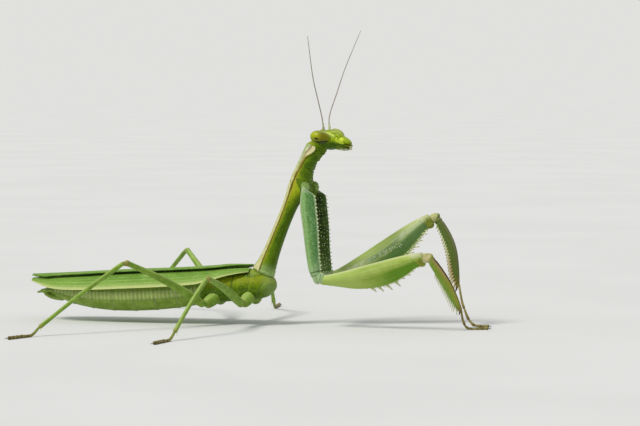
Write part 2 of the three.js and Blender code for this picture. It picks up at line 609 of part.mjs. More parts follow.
function walkingLeg(pair, name, side, leg) {
  const mirrored = (point) => at(point.x, side * point.y, point.z);
  const joints = [leg.hip, leg.trochanter, leg.knee, leg.ankle, leg.toe];
  const [hip, trochanter, knee, ankle, toe] = joints.map(mirrored);
  const coxaLine = curve([hip, hip.clone().lerp(trochanter, 0.5), trochanter]);
  const coxaBody = (grow) => limb(coxaLine, profile([[0, WALKING_COXA_RADIUS], [0.6, 0.95], [1, 0.7]]),
    { steps: 2, sides: 8, round: [0.2, 0.2], grow });
  const thighMiddle = trochanter.clone().lerp(knee, 0.5).addScaledVector(UP, 0.45);
  const femurBody = (grow) => limb([trochanter, thighMiddle, knee],
    profile([[0, 0.6], [0.2, WALKING_FEMUR_RADIUS], [0.7, 0.5], [0.93, 0.45], [1, 0.5]]),
    { steps: 5, sides: 7, round: [0.04, 0.035], grow });
  const shinMiddle = knee.clone().lerp(ankle, 0.5).addScaledVector(UP, 0.25);
  const tibiaBody = (grow) => limb([knee, shinMiddle, ankle],
    profile([[0, 0.38], [0.1, WALKING_TIBIA_RADIUS], [0.8, 0.33], [1, 0.37]]),
    { steps: 4, sides: 7, round: [0.04, 0.03], grow });
  const landing = ankle.clone().lerp(toe, 0.22).setZ(0.3);
  const instep = ankle.clone().lerp(toe, 0.6).setZ(0.27);

  addPart(`${pair}_coxa_${name}`, coxaBody(0).subtract(thoraxRoom), bodyGreen);
  addPart(`${pair}_femur_${name}`, femurBody(0).subtract(coxaBody(GAP)), walkingGreen);
  addPart(`${pair}_tibia_${name}`, tibiaBody(0).subtract(femurBody(GAP)), walkingGreen);
  const tarsus = foot([ankle, landing, instep, toe], CLAW_LENGTH).subtract(tibiaBody(GAP));
  addPart(`${pair}_tarsus_${name}`, tarsus, footBrown);
}

for (const [name, side] of [['right', 1], ['left', -1]]) {
  walkingLeg('mid', name, side, MID_LEG);
  walkingLeg('hind', name, side, HIND_LEG);
}

// ---- origin under the middle of the whole insect ------------------------------------------------

const bounds = new THREE.Box3().setFromObject(group);
const middle = bounds.getCenter(at(0, 0, 0));
group.position.set(-middle.x, -middle.y, -bounds.min.z);

export default group;
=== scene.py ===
import bpy
import mathutils
import numpy as np
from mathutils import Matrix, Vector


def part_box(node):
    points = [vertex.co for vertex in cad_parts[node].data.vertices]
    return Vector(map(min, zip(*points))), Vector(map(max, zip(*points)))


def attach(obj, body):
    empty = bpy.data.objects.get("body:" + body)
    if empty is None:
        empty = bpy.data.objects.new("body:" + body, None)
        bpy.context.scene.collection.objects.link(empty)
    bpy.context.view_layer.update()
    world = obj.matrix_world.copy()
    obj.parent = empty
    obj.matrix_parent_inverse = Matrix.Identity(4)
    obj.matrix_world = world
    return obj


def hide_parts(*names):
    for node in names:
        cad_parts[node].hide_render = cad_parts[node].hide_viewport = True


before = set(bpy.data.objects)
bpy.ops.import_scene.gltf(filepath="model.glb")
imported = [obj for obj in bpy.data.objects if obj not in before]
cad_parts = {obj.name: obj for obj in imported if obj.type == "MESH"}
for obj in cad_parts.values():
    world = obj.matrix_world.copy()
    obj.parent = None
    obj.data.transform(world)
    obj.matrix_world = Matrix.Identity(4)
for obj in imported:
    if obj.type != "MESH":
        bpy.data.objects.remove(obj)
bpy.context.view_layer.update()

# Praying mantis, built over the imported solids. Lengths are millimetres in the solids' own design
# frame (+X ahead, +Y the insect's left, +Z up) until Shape.build() turns them into metres.

MM = 0.001

# ---- driving dimensions, the same as the solids' ---------------------------------------------

# Raised fore body. A size that changes along a part is a list of (place, size) pairs.
PROTHORAX_LINE = [(-0.7, 0, 7.8), (3.15, 0, 17.3), (6.35, 0, 24.8), (8.1, 0, 28.2)]
PROTHORAX_BACK = [(0, 2.15), (0.08, 1.55), (0.2, 1.23), (0.45, 1.1), (0.58, 1.2), (0.7, 1.45),
                  (0.85, 1.4), (1, 1.5)]
PROTHORAX_CHEST = [(0, 1.95), (0.08, 1.55), (0.2, 1.23), (0.45, 1.1), (0.58, 1.4), (0.66, 2.45),
                   (0.71, 2.2), (0.77, 1.6), (0.84, 1.4), (0.9, 1.65), (1, 1.85)]
PROTHORAX_WIDTH = [(0, 3.6), (0.1, 3.2), (0.27, 2.8), (0.46, 2.7), (0.6, 3.4), (0.68, 4.1),
                   (0.8, 3.5), (1, 2.8)]
SHIELD_FLANGE = 0.2  # how far the shield's rim stands out on each side

# Head: its own X runs down the face, its own Z out of it.
HEAD_CENTRE = (9.96, -0.86, 29.41)
HEAD_YAW, HEAD_PITCH, HEAD_ROLL = -17.5, 22.3, 2.6
HEAD_LENGTH = 6.15
CROWN = -1.6  # along the face, from the line through the eyes
HEAD_SIDE = [(0, 1.4), (0.12, 1.9), (0.3, 2.3), (0.5, 2), (0.68, 1.35), (0.85, 0.95), (1, 0.6)]
HEAD_FACE = [(0, 0.4), (0.2, 0.75), (0.4, 0.98), (0.58, 1.05), (0.75, 0.95), (0.88, 0.8), (1, 0.4)]
HEAD_BACK = [(0, 0.75), (0.25, 1.3), (0.46, 1.72), (0.62, 1.2), (0.8, 0.5), (1, 0.25)]
EYE_CENTRE = (0.15, 2.28, 0.05)
EYE_RADII = (1.62, 1, 0.98)
EYE_TILT, EYE_LIFT = 20, 13  # lower ends turned in toward the mouth, and forward

FEELER_ROOT = (-0.5, 0.8, 0.72)
FEELER_LINE = {
    "right": [(0, 0, 0), (0, -0.95, 1.85), (-0.1, -3.3, 5), (-0.15, -5.7, 8), (0.4, -10.9, 14.3)],
    "left": [(0, 0, 0), (-0.25, 0.8, 1.95), (0.4, 3.2, 5.9), (1.05, 5.2, 9.3), (2.7, 8.9, 15.4)],
}

# Hind body and folded wing covers, the left one over the right.
THORAX_REAR, THORAX_WAIST, THORAX_FRONT = (-10, 0, 5.6), (-5.05, 0, 5.95), (1.5, 0, 6.3)
SCUTUM, SCUTUM_RADII = (-1.75, 0, 7.75), (1.6, 1.75, 1.05)
ABDOMEN_LINE = [(-36.5, 0, 5), (-30, 0, 4.4), (-22, 0, 4.35), (-14, 0, 4.9), (-10.1, 0, 5.4)]
ABDOMEN_WIDTH = [(0, 1.2), (0.08, 3.2), (0.2, 5.3), (0.4, 7.1), (0.65, 7.3), (0.85, 6.6), (1, 5.8)]
ABDOMEN_HEIGHT = [(0, 0.9), (0.08, 2.2), (0.2, 3.8), (0.4, 5), (0.65, 5.2), (0.85, 4.9), (1, 4.5)]
CERCUS_LENGTH = 3

WING_BASE_X, WING_LENGTH = -2.5, 36.2
WING_RIDGE = [(0, 8.8), (0.1, 8.75), (0.17, 8.5), (0.34, 8.05), (0.55, 7.65), (0.77, 7.1), (1, 6.6)]
WING_HALF_WIDTH = [(0, 1.9), (0.15, 3.6), (0.4, 4.2), (0.7, 4.15), (0.88, 3.3), (1, 0.9)]
WING_OVERLAP, WING_DROP = 1.5, 2.1

# Legs: the joints in order, each walking leg for the right side.
FORE = {
    "right": dict(hip=(6.45, -1.95, 21.7), trochanter=(8.8, -2.9, 7.5), knee=(26.95, -5.6, 11.35),
                  ankle=(30.6, -0.3, 3.2), bow=0.15,
                  foot=[(30.7, -0.2, 3.5), (31, 0.35, 1.3), (31.6, 0.7, 0.27), (34.9, 1.1, 0.27)]),
    "left": dict(hip=(7.1, 2.05, 21.6), trochanter=(8.9, 3.1, 7.4), knee=(25.35, 6.5, 16.75),
                 ankle=(29.1, 5.05, 6.4), bow=0.7,
                 foot=[(29.3, 5.05, 6.7), (30.1, 4.6, 3.3), (31.7, 4.25, 0.5), (34.4, 4.3, 0.27)]),
}
COXA_FRONT = [(0, 0.4), (0.05, 0.6), (0.11, 1.45), (0.25, 1.48), (0.45, 1.34), (0.73, 0.95),
              (1, 0.8)]
COXA_REAR = [(0, 0.4), (0.1, 0.75), (0.22, 1.08), (0.45, 1.13), (0.73, 1.2), (0.9, 1.1), (1, 0.8)]
COXA_HALF_WIDTH = [(0, 0.4), (0.15, 0.75), (0.5, 0.85), (1, 0.75)]
FEMUR_TOP = [(0, 0.5), (0.12, 0.36), (0.3, 0.55), (0.53, 0.92), (0.75, 1.2), (0.88, 1.2), (1, 1.05)]
FEMUR_BOTTOM = [(0, 0.8), (0.12, 1.6), (0.3, 2.9), (0.5, 3.35), (0.65, 2.95), (0.77, 2.1),
                (0.88, 1.15), (1, 0.85)]
FEMUR_HALF_WIDTH = [(0, 0.6), (0.14, 0.8), (0.35, 1), (0.55, 1), (0.8, 0.85), (1, 0.7)]
TIBIA_TOP = [(0, 0.65), (0.2, 0.85), (0.5, 0.9), (0.8, 0.65), (1, 0.35)]
TIBIA_BOTTOM = [(0, 0.5), (0.2, 0.6), (0.5, 0.65), (0.8, 0.6), (1, 0.4)]
TIBIA_HALF_WIDTH = [(0, 0.6), (0.5, 0.58), (1, 0.36)]

MID_LEG = dict(hip=(-2.2, -1.6, 4.7), trochanter=(-3, -3.6, 3.4), knee=(-4.6, -16.4, 8.4),
               ankle=(-6.5, -26.3, 1.2), toe=(-7.4, -33, 0.27))
HIND_LEG = dict(hip=(-7.6, -1.7, 4.5), trochanter=(-9, -3.8, 3.2), knee=(-18, -15.2, 10.5),
                ankle=(-28, -25.5, 1.2), toe=(-30.3, -31.8, 0.27))

# ---- dimensions of the skin alone -------------------------------------------------------------

SHIELD_REACH = 65.0  # degrees from the keel to the rim at mid length
SHIELD_THICKNESS = 0.12
OCELLI = ((-1.02, 0.0), (-1.2, 0.34), (-1.2, -0.34))
PUPIL = (-0.25, 0.96, -0.12)  # on the eye's unit ball
EYE_TAPER = 0.16
KNEE_KNOB = {"right": 0.55, "left": 0.2}  # how far the knob is drawn back from the knee
ABDOMEN_JOINTS = (0.1, 0.2, 0.32, 0.45, 0.58, 0.71, 0.84)
WING_THICKNESS = 0.14
TARSUS_STOPS = (0, 0.42, 0.6, 0.73, 0.84, 0.97)

BODY_COLUMNS, LEG_COLUMNS, WALKING_COLUMNS = 96, 110, 56
WING_ROWS, WING_COLUMNS = 290, 130
THORN_ROWS, END_ROWS = 9, 14
GOLDEN_TURN = 2.39996  # radians between one knob and the next

VIEW_AZIMUTH, VIEW_ELEVATION = 15.0, 3.0
VIEW_DISTANCE = 400.0
VIEW_TARGET = (7.92, 2.12, 17.42)
VIEW_SPREAD = 0.155  # millimetres of the insect to a pixel of the picture
PICTURE_WIDTH = 640
SENSOR_WIDTH = 36.0
FLOOR_HALF = 60.0  # metres
BACKDROP = (0.749, 0.753, 0.731, 1)
AMBIENT, AMBIENT_STRENGTH = (0.96, 0.98, 1.0, 1), 0.5
KEY_PLACE, KEY_TINT = (-0.39, -0.47, 0.8), (1.0, 0.985, 0.95)
KEY_STRENGTH, KEY_SPREAD = 1.9, 18

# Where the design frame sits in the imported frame.
thorax_low, thorax_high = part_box("mesothorax")
HOME = np.array([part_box("tegmen_left")[1][0] - WING_BASE_X * MM,
                 (thorax_low[1] + thorax_high[1]) / 2, 0])

UP = np.array([0.0, 0.0, 1.0])
DORSAL = np.array([-1.0, 0.0, 0.0])
AHEAD = np.array([1.0, 0.0, 0.0])
SIDES = (("right", -1), ("left", 1))


# ---- numbers and curves ----------------------------------------------------------------------

def vec(*values):
    return np.array(values, dtype=float)


def unit(v):
    """Vectors brought to length 1."""
    return v / np.linalg.norm(v, axis=-1, keepdims=True)


def smooth(x, low, high):
    """0 below low, 1 above high, and an even S between."""
    s = np.clip((np.asarray(x, dtype=float) - low) / (high - low), 0, 1)
    return s * s * (3 - 2 * s)


def hump(x, middle, width):
    """A bell that is 1 at middle."""
    return np.exp(-(((x - middle) / width) ** 2))


def within(x, low, full, fade, high):
    """1 from full to fade, and 0 at low, at high and beyond."""
    return smooth(x, low, full) * smooth(x, high, fade)


def limit(x):
    return np.clip(x, 0, 1)


def power(x, exponent):
    """x to a power, with its sign kept."""
    return np.sign(x) * np.abs(x) ** exponent


def lifted(top, low, s):
    """Height of a section that stands top above its path at s = 1, and low below it at s = -1."""
    return (top - low) / 2 + (top + low) / 2 * s


def rotation(axis, degrees):
    """Matrix of a turn about X, Y or Z (axis 0, 1 or 2)."""
    i, j = (axis + 1) % 3, (axis + 2) % 3
    matrix = np.eye(3)
    matrix[i, i] = matrix[j, j] = np.cos(np.radians(degrees))
    matrix[j, i] = np.sin(np.radians(degrees))
    matrix[i, j] = -matrix[j, i]
    return matrix


def profile(pairs):
    """A size that runs smoothly through (place, value) pairs."""
    places, values = np.array(pairs, dtype=float).T
    last = len(pairs) - 1
    before = np.maximum(np.arange(last + 1) - 1, 0)
    after = np.minimum(np.arange(last + 1) + 1, last)
    slopes = (values[after] - values[before]) / (places[after] - places[before])

    def at(place):
        t = limit(place)
        i = np.clip(np.searchsorted(places, t, side="left"), 1, last)
        span = places[i] - places[i - 1]
        s = (t - places[i - 1]) / span
        ease = s * s * (3 - 2 * s)
        bend = (1 - s) * slopes[i - 1] - s * slopes[i]
        return values[i - 1] + (values[i] - values[i - 1]) * ease + span * s * (1 - s) * bend

    return at


class Path:
    """Centripetal Catmull-Rom curve through points, walked by its length."""

    STEPS = 300
    NUDGE = 0.004

    def __init__(self, points):
        p = np.array(points, dtype=float)
        p = np.vstack([2 * p[0] - p[1], p, 2 * p[-1] - p[-2]])
        gap = np.maximum(np.sqrt(np.linalg.norm(np.diff(p, axis=0), axis=1)), 1e-6)
        w = np.linspace(0, 1, self.STEPS, endpoint=False)[:, None]
        track = []
        for i in range(1, len(p) - 2):
            a, b, c = gap[i - 1:i + 2]
            rise = p[i + 1] - p[i]
            leave = ((p[i] - p[i - 1]) / a - (p[i + 1] - p[i - 1]) / (a + b) + rise / b) * b
            enter = (rise / b - (p[i + 2] - p[i]) / (b + c) + (p[i + 2] - p[i + 1]) / c) * b
            track.append(p[i] + leave * w + (3 * rise - 2 * leave - enter) * w**2
                         + (leave + enter - 2 * rise) * w**3)
        self.track = np.vstack(track + [p[-2][None]])
        steps = np.linalg.norm(np.diff(self.track, axis=0), axis=1)
        walked = np.concatenate([[0], np.cumsum(steps)])
        self.share = walked / walked[-1]

    def at(self, t):
        return np.stack([np.interp(t, self.share, self.track[:, k]) for k in range(3)], axis=-1)

    def ahead(self, t):
        return unit(self.at(np.minimum(t + self.NUDGE, 1)) - self.at(np.maximum(t - self.NUDGE, 0)))

    def frame(self, t, up):
        """Centre, ahead, left and above at places t, where up says what above is."""
        ahead = self.ahead(t)
        left = unit(np.cross(up, ahead))
        return self.at(t), ahead, left, np.cross(ahead, left)


def link(start, end, rise=0.0):
    """Path from start to end by way of a middle that stands rise too high."""
    return Path([start, (start + end) / 2 + UP * rise, end])


# ---- mesh making -----------------------------------------------------------------------------

class Shape:
    """A mesh put together from grids of points, with named values at every point."""

    def __init__(self):
        self.points, self.faces, self.values, self.count = [], [], [], 0

    def grid(self, points, **values):
        """A closed tube: (rows, columns, 3) points, joined round and capped at both ends."""
        rows, columns = points.shape[:2]
        size = rows * columns
        wide = {}
        for name, value in values.items():
            value = np.asarray(value, dtype=float)
            value = value[None, None] if value.ndim == 1 else value
            value = np.broadcast_to(value, (rows, columns) + value.shape[2:])
            ends = value[:1].mean(axis=1), value[-1:].mean(axis=1)
            wide[name] = np.concatenate([value.reshape((size,) + value.shape[2:]), *ends])
        index = np.arange(size).reshape(rows, columns)
        index = np.concatenate([index, index[:, :1]], axis=1) + self.count
        quads = np.stack([index[:-1, :-1], index[:-1, 1:], index[1:, 1:], index[1:, :-1]], axis=-1)
        self.faces += quads.reshape(-1, 4).tolist()
        first, last = self.count + size, self.count + size + 1
        bottom, top = index[0].tolist(), index[-1].tolist()
        for j in range(columns):
            self.faces.append([first, bottom[j + 1], bottom[j]])
            self.faces.append([last, top[j], top[j + 1]])
        flat = [points.reshape(-1, 3), points[0].mean(axis=0), points[-1].mean(axis=0)]
        self.points.append(np.vstack(flat))
        self.values.append(wide)
        self.count += size + 2
        return self

    def build(self, name, skin, slot, *nodes):
        """The Blender object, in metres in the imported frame, standing for the CAD nodes."""
        mesh = bpy.data.meshes.new(name)
        mesh.from_pydata((np.vstack(self.points) * MM + HOME).tolist(), [], self.faces)
        for key in sorted({key for values in self.values for key in values}):
            shape = next(v[key].shape[1:] for v in self.values if key in v)
            parts = [v.get(key, np.zeros((len(p),) + shape))
                     for v, p in zip(self.values, self.points)]
            kind, field = ("FLOAT_VECTOR", "vector") if shape else ("FLOAT", "value")
            mesh.attributes.new(key, kind, "POINT").data.foreach_set(
                field, np.concatenate(parts).astype(np.float32).ravel())
        mesh.materials.append(skin)
        mesh.shade_smooth()
        mesh.update()
        piece = bpy.data.objects.new(name, mesh)
        bpy.context.scene.collection.objects.link(piece)
        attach(piece, "root")
        if nodes:
            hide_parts(*nodes)
        return piece


def turn(columns):
    """Angles of points spaced evenly round a ring."""
    return np.arange(columns) / columns * 2 * np.pi


def rings(count, start_round=0.0, end_round=0.0, start=0.0, end=1.0):
    """Places along a sweep, packed closer where an end rounds off, and how far each has swelled."""
    bow = 1 - np.cos(np.linspace(0, np.pi / 2, END_ROWS))
    low = bow[:-1] * start_round if start_round else []
    high = 1 - bow[-2::-1] * end_round if end_round else []
    t = np.concatenate([low, np.linspace(start_round, 1 - end_round, count), high])
    swell = np.ones_like(t)
    for inward, length in ((t, start_round), (1 - t, end_round)):
        if length:
            swell *= np.sqrt(np.maximum(0, 1 - (1 - limit(inward / length)) ** 2))
    return start + (end - start) * t, np.maximum(swell, 0.02)


def section(columns, *places):
    """Places t, t and swell as columns of numbers, and cosine and sine round a ring as rows."""
    t, swell = rings(*places)
    around = turn(columns)[None]
    return t, t[:, None], swell[:, None], np.cos(around), np.sin(around)


def sweep(path, up, t, across, over):
    """Rings of points round a path: across and over are (rows, columns) offsets left and above."""
    centre, _, left, above = path.frame(t, up)
    return centre[:, None] + left[:, None] * across[..., None] + above[:, None] * over[..., None]


def lay_of(c, s, t):
    """Where skin lies on a limb: cosine to its side, sine over it, and the place along it."""
    return np.stack(np.broadcast_arrays(c, s, t), axis=-1)


def outward(points, wrap=True):
    """Unit normals of a grid of points."""
    if wrap:
        around = np.roll(points, -1, axis=1) - np.roll(points, 1, axis=1)
    else:
        around = np.gradient(points, axis=1)
    normal = np.cross(around, np.gradient(points, axis=0))
    return normal / np.maximum(np.linalg.norm(normal, axis=-1, keepdims=True), 1e-9)


def facing(sheet, way):
    """Unit normals of an open sheet, turned to the side where its middle looks toward way."""
    normal = outward(sheet, wrap=False)
    middle = normal[len(normal) // 2, normal.shape[1] // 2]
    return normal if middle @ way > 0 else -normal


def swollen(points, amount):
    """Closed rings of points moved outward."""
    return points + outward(points) * amount[..., None]


def two_sided(outer, inner):
    """Rows of an outer sheet that carry on round its edge into the inner one."""
    return np.concatenate([outer, inner[:, ::-1]], axis=1)


def thorn(shape, root, direction, length, radius, bend=(0, 0, 0), sides=10, blunt=0.6, **values):
    """A spine with its root sunk in the limb, bending toward bend as it narrows to its point."""
    s = np.linspace(0, 1, THORN_ROWS)[:, None]
    direction = unit(direction)
    side = unit(np.cross(direction, vec(0.31, 0.87, 0.39)))
    other = np.cross(direction, side)
    centre = root + direction * (s * length) + np.array(bend) * (s**2 * length)
    width = radius * np.maximum((1 - s) ** blunt, 0.04)
    a = turn(sides)[:, None]
    ring = side * np.cos(a) + other * np.sin(a)
    shape.grid(centre[:, None] + ring[None] * width[..., None], tip=s, **values)


def bead(shape, centre, ahead, up, radii, columns=28, rows=18, **values):
    """Smooth egg with half sizes radii along ahead, across and over."""
    ahead = unit(ahead)
    left = unit(np.cross(up, ahead))
    above = np.cross(ahead, left)
    latitude = np.linspace(-np.pi / 2 + 0.05, np.pi / 2 - 0.05, rows)[:, None, None]
    a = turn(columns)[:, None]
    shape.grid(centre + np.sin(latitude) * radii[0] * ahead
               + np.cos(latitude) * np.cos(a) * radii[1] * left
               + np.cos(latitude) * np.sin(a) * radii[2] * above, **values)


def knobs(shape, centre, ahead, up, reach, size, count, seed, **values):
    """A cluster of small soft lumps over an egg-shaped patch."""
    rng = np.random.default_rng(seed)
    left = unit(np.cross(up, ahead))
    above = np.cross(ahead, left)
    for i in range(count):
        height = 1 - 2 * (i + 0.5) / count
        spin = i * GOLDEN_TURN + rng.uniform(-0.3, 0.3)
        wide = np.sqrt(1 - height**2)
        spot = (centre + ahead * height * reach[0] + left * np.cos(spin) * wide * reach[1]
                + above * np.sin(spin) * wide * reach[2])
        r = size * rng.uniform(0.75, 1.25)
        bead(shape, spot, ahead, up, (r * 0.8, r, r), 14, 9, **values)


# ---- materials -------------------------------------------------------------------------------

def colour(code):
    """Linear colour of a six-digit code."""
    parts = [int(code[i:i + 2], 16) / 255 for i in (0, 2, 4)]
    linear = [c / 12.92 if c <= 0.04045 else ((c + 0.055) / 1.055) ** 2.4 for c in parts]
    return (*linear, 1.0)


class Field:
    """A number, vector or colour at every point of a skin, as its nodes work it out."""

    def __init__(self, skin, socket):
        self.skin, self.socket = skin, socket

    def math(self, operation, a, b=0.0):
        return self.skin.add("ShaderNodeMath", {0: a, 1: b}, operation=operation)

    def __add__(self, other):
        return self.math("ADD", self, other)

    def __sub__(self, other):
        return self.math("SUBTRACT", self, other)

    def __rsub__(self, other):
        return self.math("SUBTRACT", other, self)

    def __mul__(self, other):
        return self.math("MULTIPLY", self, other)

    def __abs__(self):
        return self.math("ABSOLUTE", self)

    def ease(self, low, high, start=0.0, end=1.0):
        """start at low and below, end at high and beyond, and an even S between."""
        return self.skin.add("ShaderNodeMapRange", {"Value": self, "From Min": low, "From Max": high,
                             "To Min": start, "To Max": end}, interpolation_type="SMOOTHSTEP")

    def band(self, middle, half, soft):
        """1 within half of middle, fading to 0 over soft."""
        return abs(self - middle).ease(half, half + soft, 1.0, 0.0)


class Skin:
    """A node material in the making. Its textures measure in millimetres."""

    BLEED_TINT = (1.0, 0.9, 0.35)

    def __init__(self, name, coat=0.0, coat_roughness=0.3, subsurface=0.0, bleed=0.3, specular=0.12):
        self.material = bpy.data.materials.new(name)
        self.material.use_nodes = True
        self.tree = self.material.node_tree
        self.shader = self.tree.nodes["Principled BSDF"]
        self.normal = self.base = None
        for key, value in {"Coat Weight": coat, "Coat Roughness": coat_roughness,
                           "Subsurface Weight": subsurface, "Subsurface Radius": self.BLEED_TINT,
                           "Subsurface Scale": bleed * MM, "Specular IOR Level": specular}.items():
            self.shader.inputs[key].default_value = value
        place = self.add("ShaderNodeTexCoord", output="Object")
        self.place = self.add("ShaderNodeVectorMath", {0: place, "Scale": 1 / MM}, operation="SCALE")

    def add(self, kind, inputs=None, output=0, **settings):
        node = self.tree.nodes.new(kind)
        for key, value in settings.items():
            setattr(node, key, value)
        self.feed(node, inputs or {})
        return Field(self, node.outputs[output])

    def feed(self, node, inputs):
        for key, value in inputs.items():
            if isinstance(value, Field):
                self.tree.links.new(value.socket, node.inputs[key])
            else:
                node.inputs[key].default_value = colour(value) if isinstance(value, str) else value

    def value(self, name):
        return self.add("ShaderNodeAttribute", output="Fac", attribute_name=name)

    def vector(self, name):
        return self.add("ShaderNodeAttribute", output="Vector", attribute_name=name)

    def parts(self, name):
        x = self.add("ShaderNodeSeparateXYZ", {0: self.vector(name)})
        return [Field(self, x.socket.node.outputs[k]) for k in range(3)]

    def joined(self, x, y, z):
        return self.add("ShaderNodeCombineXYZ", {0: x, 1: y, 2: z})

    def stretched(self, x, y, z):
        return self.add("ShaderNodeVectorMath", {0: self.place, 1: (x, y, z)}, operation="MULTIPLY")

    def noise(self, scale, detail=3, rough=0.5, vector=None):
        return self.add("ShaderNodeTexNoise", {"Vector": vector or self.place, "Scale": scale,
                        "Detail": detail, "Roughness": rough})

    def cells(self, scale, vector=None, feature="F1"):
        return self.add("ShaderNodeTexVoronoi", {"Vector": vector or self.place, "Scale": scale},
                        output="Distance", feature=feature)

    def mix(self, factor, a, b):
        """Colour a where factor is 0 and b where it is 1. Each is a field, a code or four numbers."""
        return self.add("ShaderNodeMix", {0: factor, 6: a, 7: b}, output=2, data_type="RGBA")

    def ground(self, factor, a, b):
        """The first coat, a mix of two colours."""
        self.base = self.mix(factor, a, b)

    def paint(self, factor, code):
        """One more colour over those already there."""
        self.base = self.mix(factor, self.base, code)

    def relief(self, height, depth, strength=1.0):
        """Fine bumps depth millimetres high, over those already there."""
        inputs = {"Strength": strength, "Distance": depth * MM, "Height": height}
        if self.normal:
            inputs["Normal"] = self.normal
        self.normal = self.add("ShaderNodeBump", inputs, output="Normal")

    def finish(self, scale, detail, smoothest, roughest):
        """The finished material. A noise sets how rough it is."""
        rough = self.noise(scale, detail).ease(0.3, 0.7, smoothest, roughest)
        self.feed(self.shader, {"Base Color": self.base, "Roughness": rough})
        if self.normal:
            self.feed(self.shader, {"Normal": self.normal})
        return self.material


def body_skin():
    """Prothorax, neck and thorax: mossy green, granulated, yellower where it swells, with painted shade
    in its creases.
    """
    s = Skin("body_skin", subsurface=0.1, bleed=0.3)
    _, over, along = s.parts("lay")
    patch = s.noise(0.55, 4, 0.6)
    s.ground(patch.ease(0.35, 0.68), "486802", "6f9004")
    s.paint(over.ease(-0.15, -0.9, 0, 0.65), "48670a")
    low = along.ease(0.6, 0.45) * over.ease(0.2, -0.2)
    s.paint(low * 0.35, "456602")
    s.paint(over.ease(-0.15, 0.45, 0, 0.8), "8e9a14")
    s.paint(s.value("blush") * 0.85, "a4b314")
    s.paint(s.value("fold") * 0.9, "a3bf74")
    grain, fine = s.cells(3), s.cells(6.5)
    dimple = s.noise(2.4, 4, 0.65).ease(0.5, 0.3, 0, 0.55)
    s.paint(dimple, "3f5e04")
    knob = grain.ease(0.3, 0.08) * s.noise(1.2, 2).ease(0.35, 0.6)
    s.paint(knob * 0.55, "a8bf3c")
    s.paint(fine.ease(0.22, 0.06, 0, 0.2), "c5d070")
    # Painted shade in the seams, furrows, wrinkles and neck rings that the shapes cut in.
    s.paint(s.value("crease") * 0.7, "354a06")
    s.paint(s.value("line") * s.noise(1.3, 2).ease(0.25, 0.55, 0.5, 1), "b7a53c")
    s.relief(grain, -0.07, 0.8)
    s.relief(fine, -0.03, 0.6)
    s.relief(s.noise(9, 3, 0.6), 0.02, 0.6)
    return s.finish(2.2, 3, 0.4, 0.56)


def shield_skin():
    """Pronotum: olive back with a broad cream slope on each side, edged by a rusty line, with painted
    shade in the cross furrow.
    """
    s = Skin("shield_skin", subsurface=0.1, bleed=0.3)
    out, _, along = s.parts("lay")
    away = abs(out)
    patch = s.noise(0.8, 4, 0.6)
    wander = away + (s.noise(1.6, 3, 0.6) - 0.5) * 0.1
    back = s.mix(patch.ease(0.35, 0.7), "8d9a3c", "a7b258")
    back = s.mix(out.band(0, 0.05, 0.1), back, "b9be72")
    cream = s.mix(s.noise(1.4, 3).ease(0.35, 0.7), "c0c17e", "d4d29e")
    whitish = s.mix(s.noise(1.9, 3).ease(0.35, 0.7), "a3b67a", "cdd5aa")
    front = along.ease(0.72, 0.86)
    slope = s.mix(front, cream, whitish)
    s.ground(wander.ease(0.34, 0.56), back, slope)
    pink = along.ease(0.8, 0.92) * s.noise(1.7, 3).ease(0.3, 0.6, 0.25, 0.8)
    s.paint(wander.band(0.74, 0.02, 0.07) * pink, "a5785e")
    rim = s.mix(s.noise(2.2, 3).ease(0.35, 0.65), "c6c07a", "dfd8a8")
    rust = along.band(0.82, 0.06, 0.04) * s.noise(1.9, 3).ease(0.3, 0.6, 0.6, 1)
    rim = s.mix(rust, rim, "97873a")
    rim = s.mix(along.ease(0.9, 0.93), rim, "ddd3a0")
    s.paint(wander.ease(0.79, 0.87), rim)
    s.paint(wander.ease(0.95, 1, 0, 0.4), "ae9a4c")
    s.paint(s.cells(4.5).ease(0.22, 0.05, 0, 0.35), "eceacb")
    # Painted shade in the cross furrow.
    s.paint(s.value("line") * 0.6, "5c6a1c")
    s.relief(s.cells(4.5), -0.04, 0.7)
    s.relief(s.noise(8, 3, 0.6), 0.02, 0.6)
    return s.finish(2, 3, 0.4, 0.54)


def head_skin():
    """Head capsule: yellow-green, brightest along the brow by the eye and round the mouth plate, with a
    painted highlight on each side of the face and painted shade in its grooves and the gape.
    """
    s = Skin("head_skin", coat=0.03, coat_roughness=0.3, subsurface=0.1, bleed=0.25)
    patch = s.noise(1.3, 4, 0.6)
    s.ground(patch.ease(0.3, 0.72), "7f9d06", "98b20e")
    s.paint(s.value("cheek") * 0.95, "3b5a04")
    # Painted shade in the sutures, the dips by the ridges, the groove round each eye and the crown's
    # dimples.
    s.paint(s.value("groove") * 0.55, "456003")
    blot = s.noise(2.6, 3, 0.6).ease(0.3, 0.55, 0.35, 1)
    # plate also carries a painted highlight on a swelling at each side of the face.
    s.paint(s.value("plate").ease(0.08, 0.8) * blot, "dfe94c")
    s.paint(s.value("rim").ease(0.15, 0.9, 0, 0.9), "dce66a")
    s.paint(s.value("lip"), "e2e4bc")
    # Painted shade in the gape of the mouth, and the darker end of the labrum.
    s.paint(s.value("dusk"), "4a3a0c")
    grain = s.cells(6)
    s.paint(grain.ease(0.25, 0.06, 0, 0.1), "c8d25c")
    s.relief(grain, -0.01, 0.5)
    s.relief(s.noise(8, 2, 0.5), 0.008, 0.5)
    return s.finish(3, 3, 0.34, 0.5)


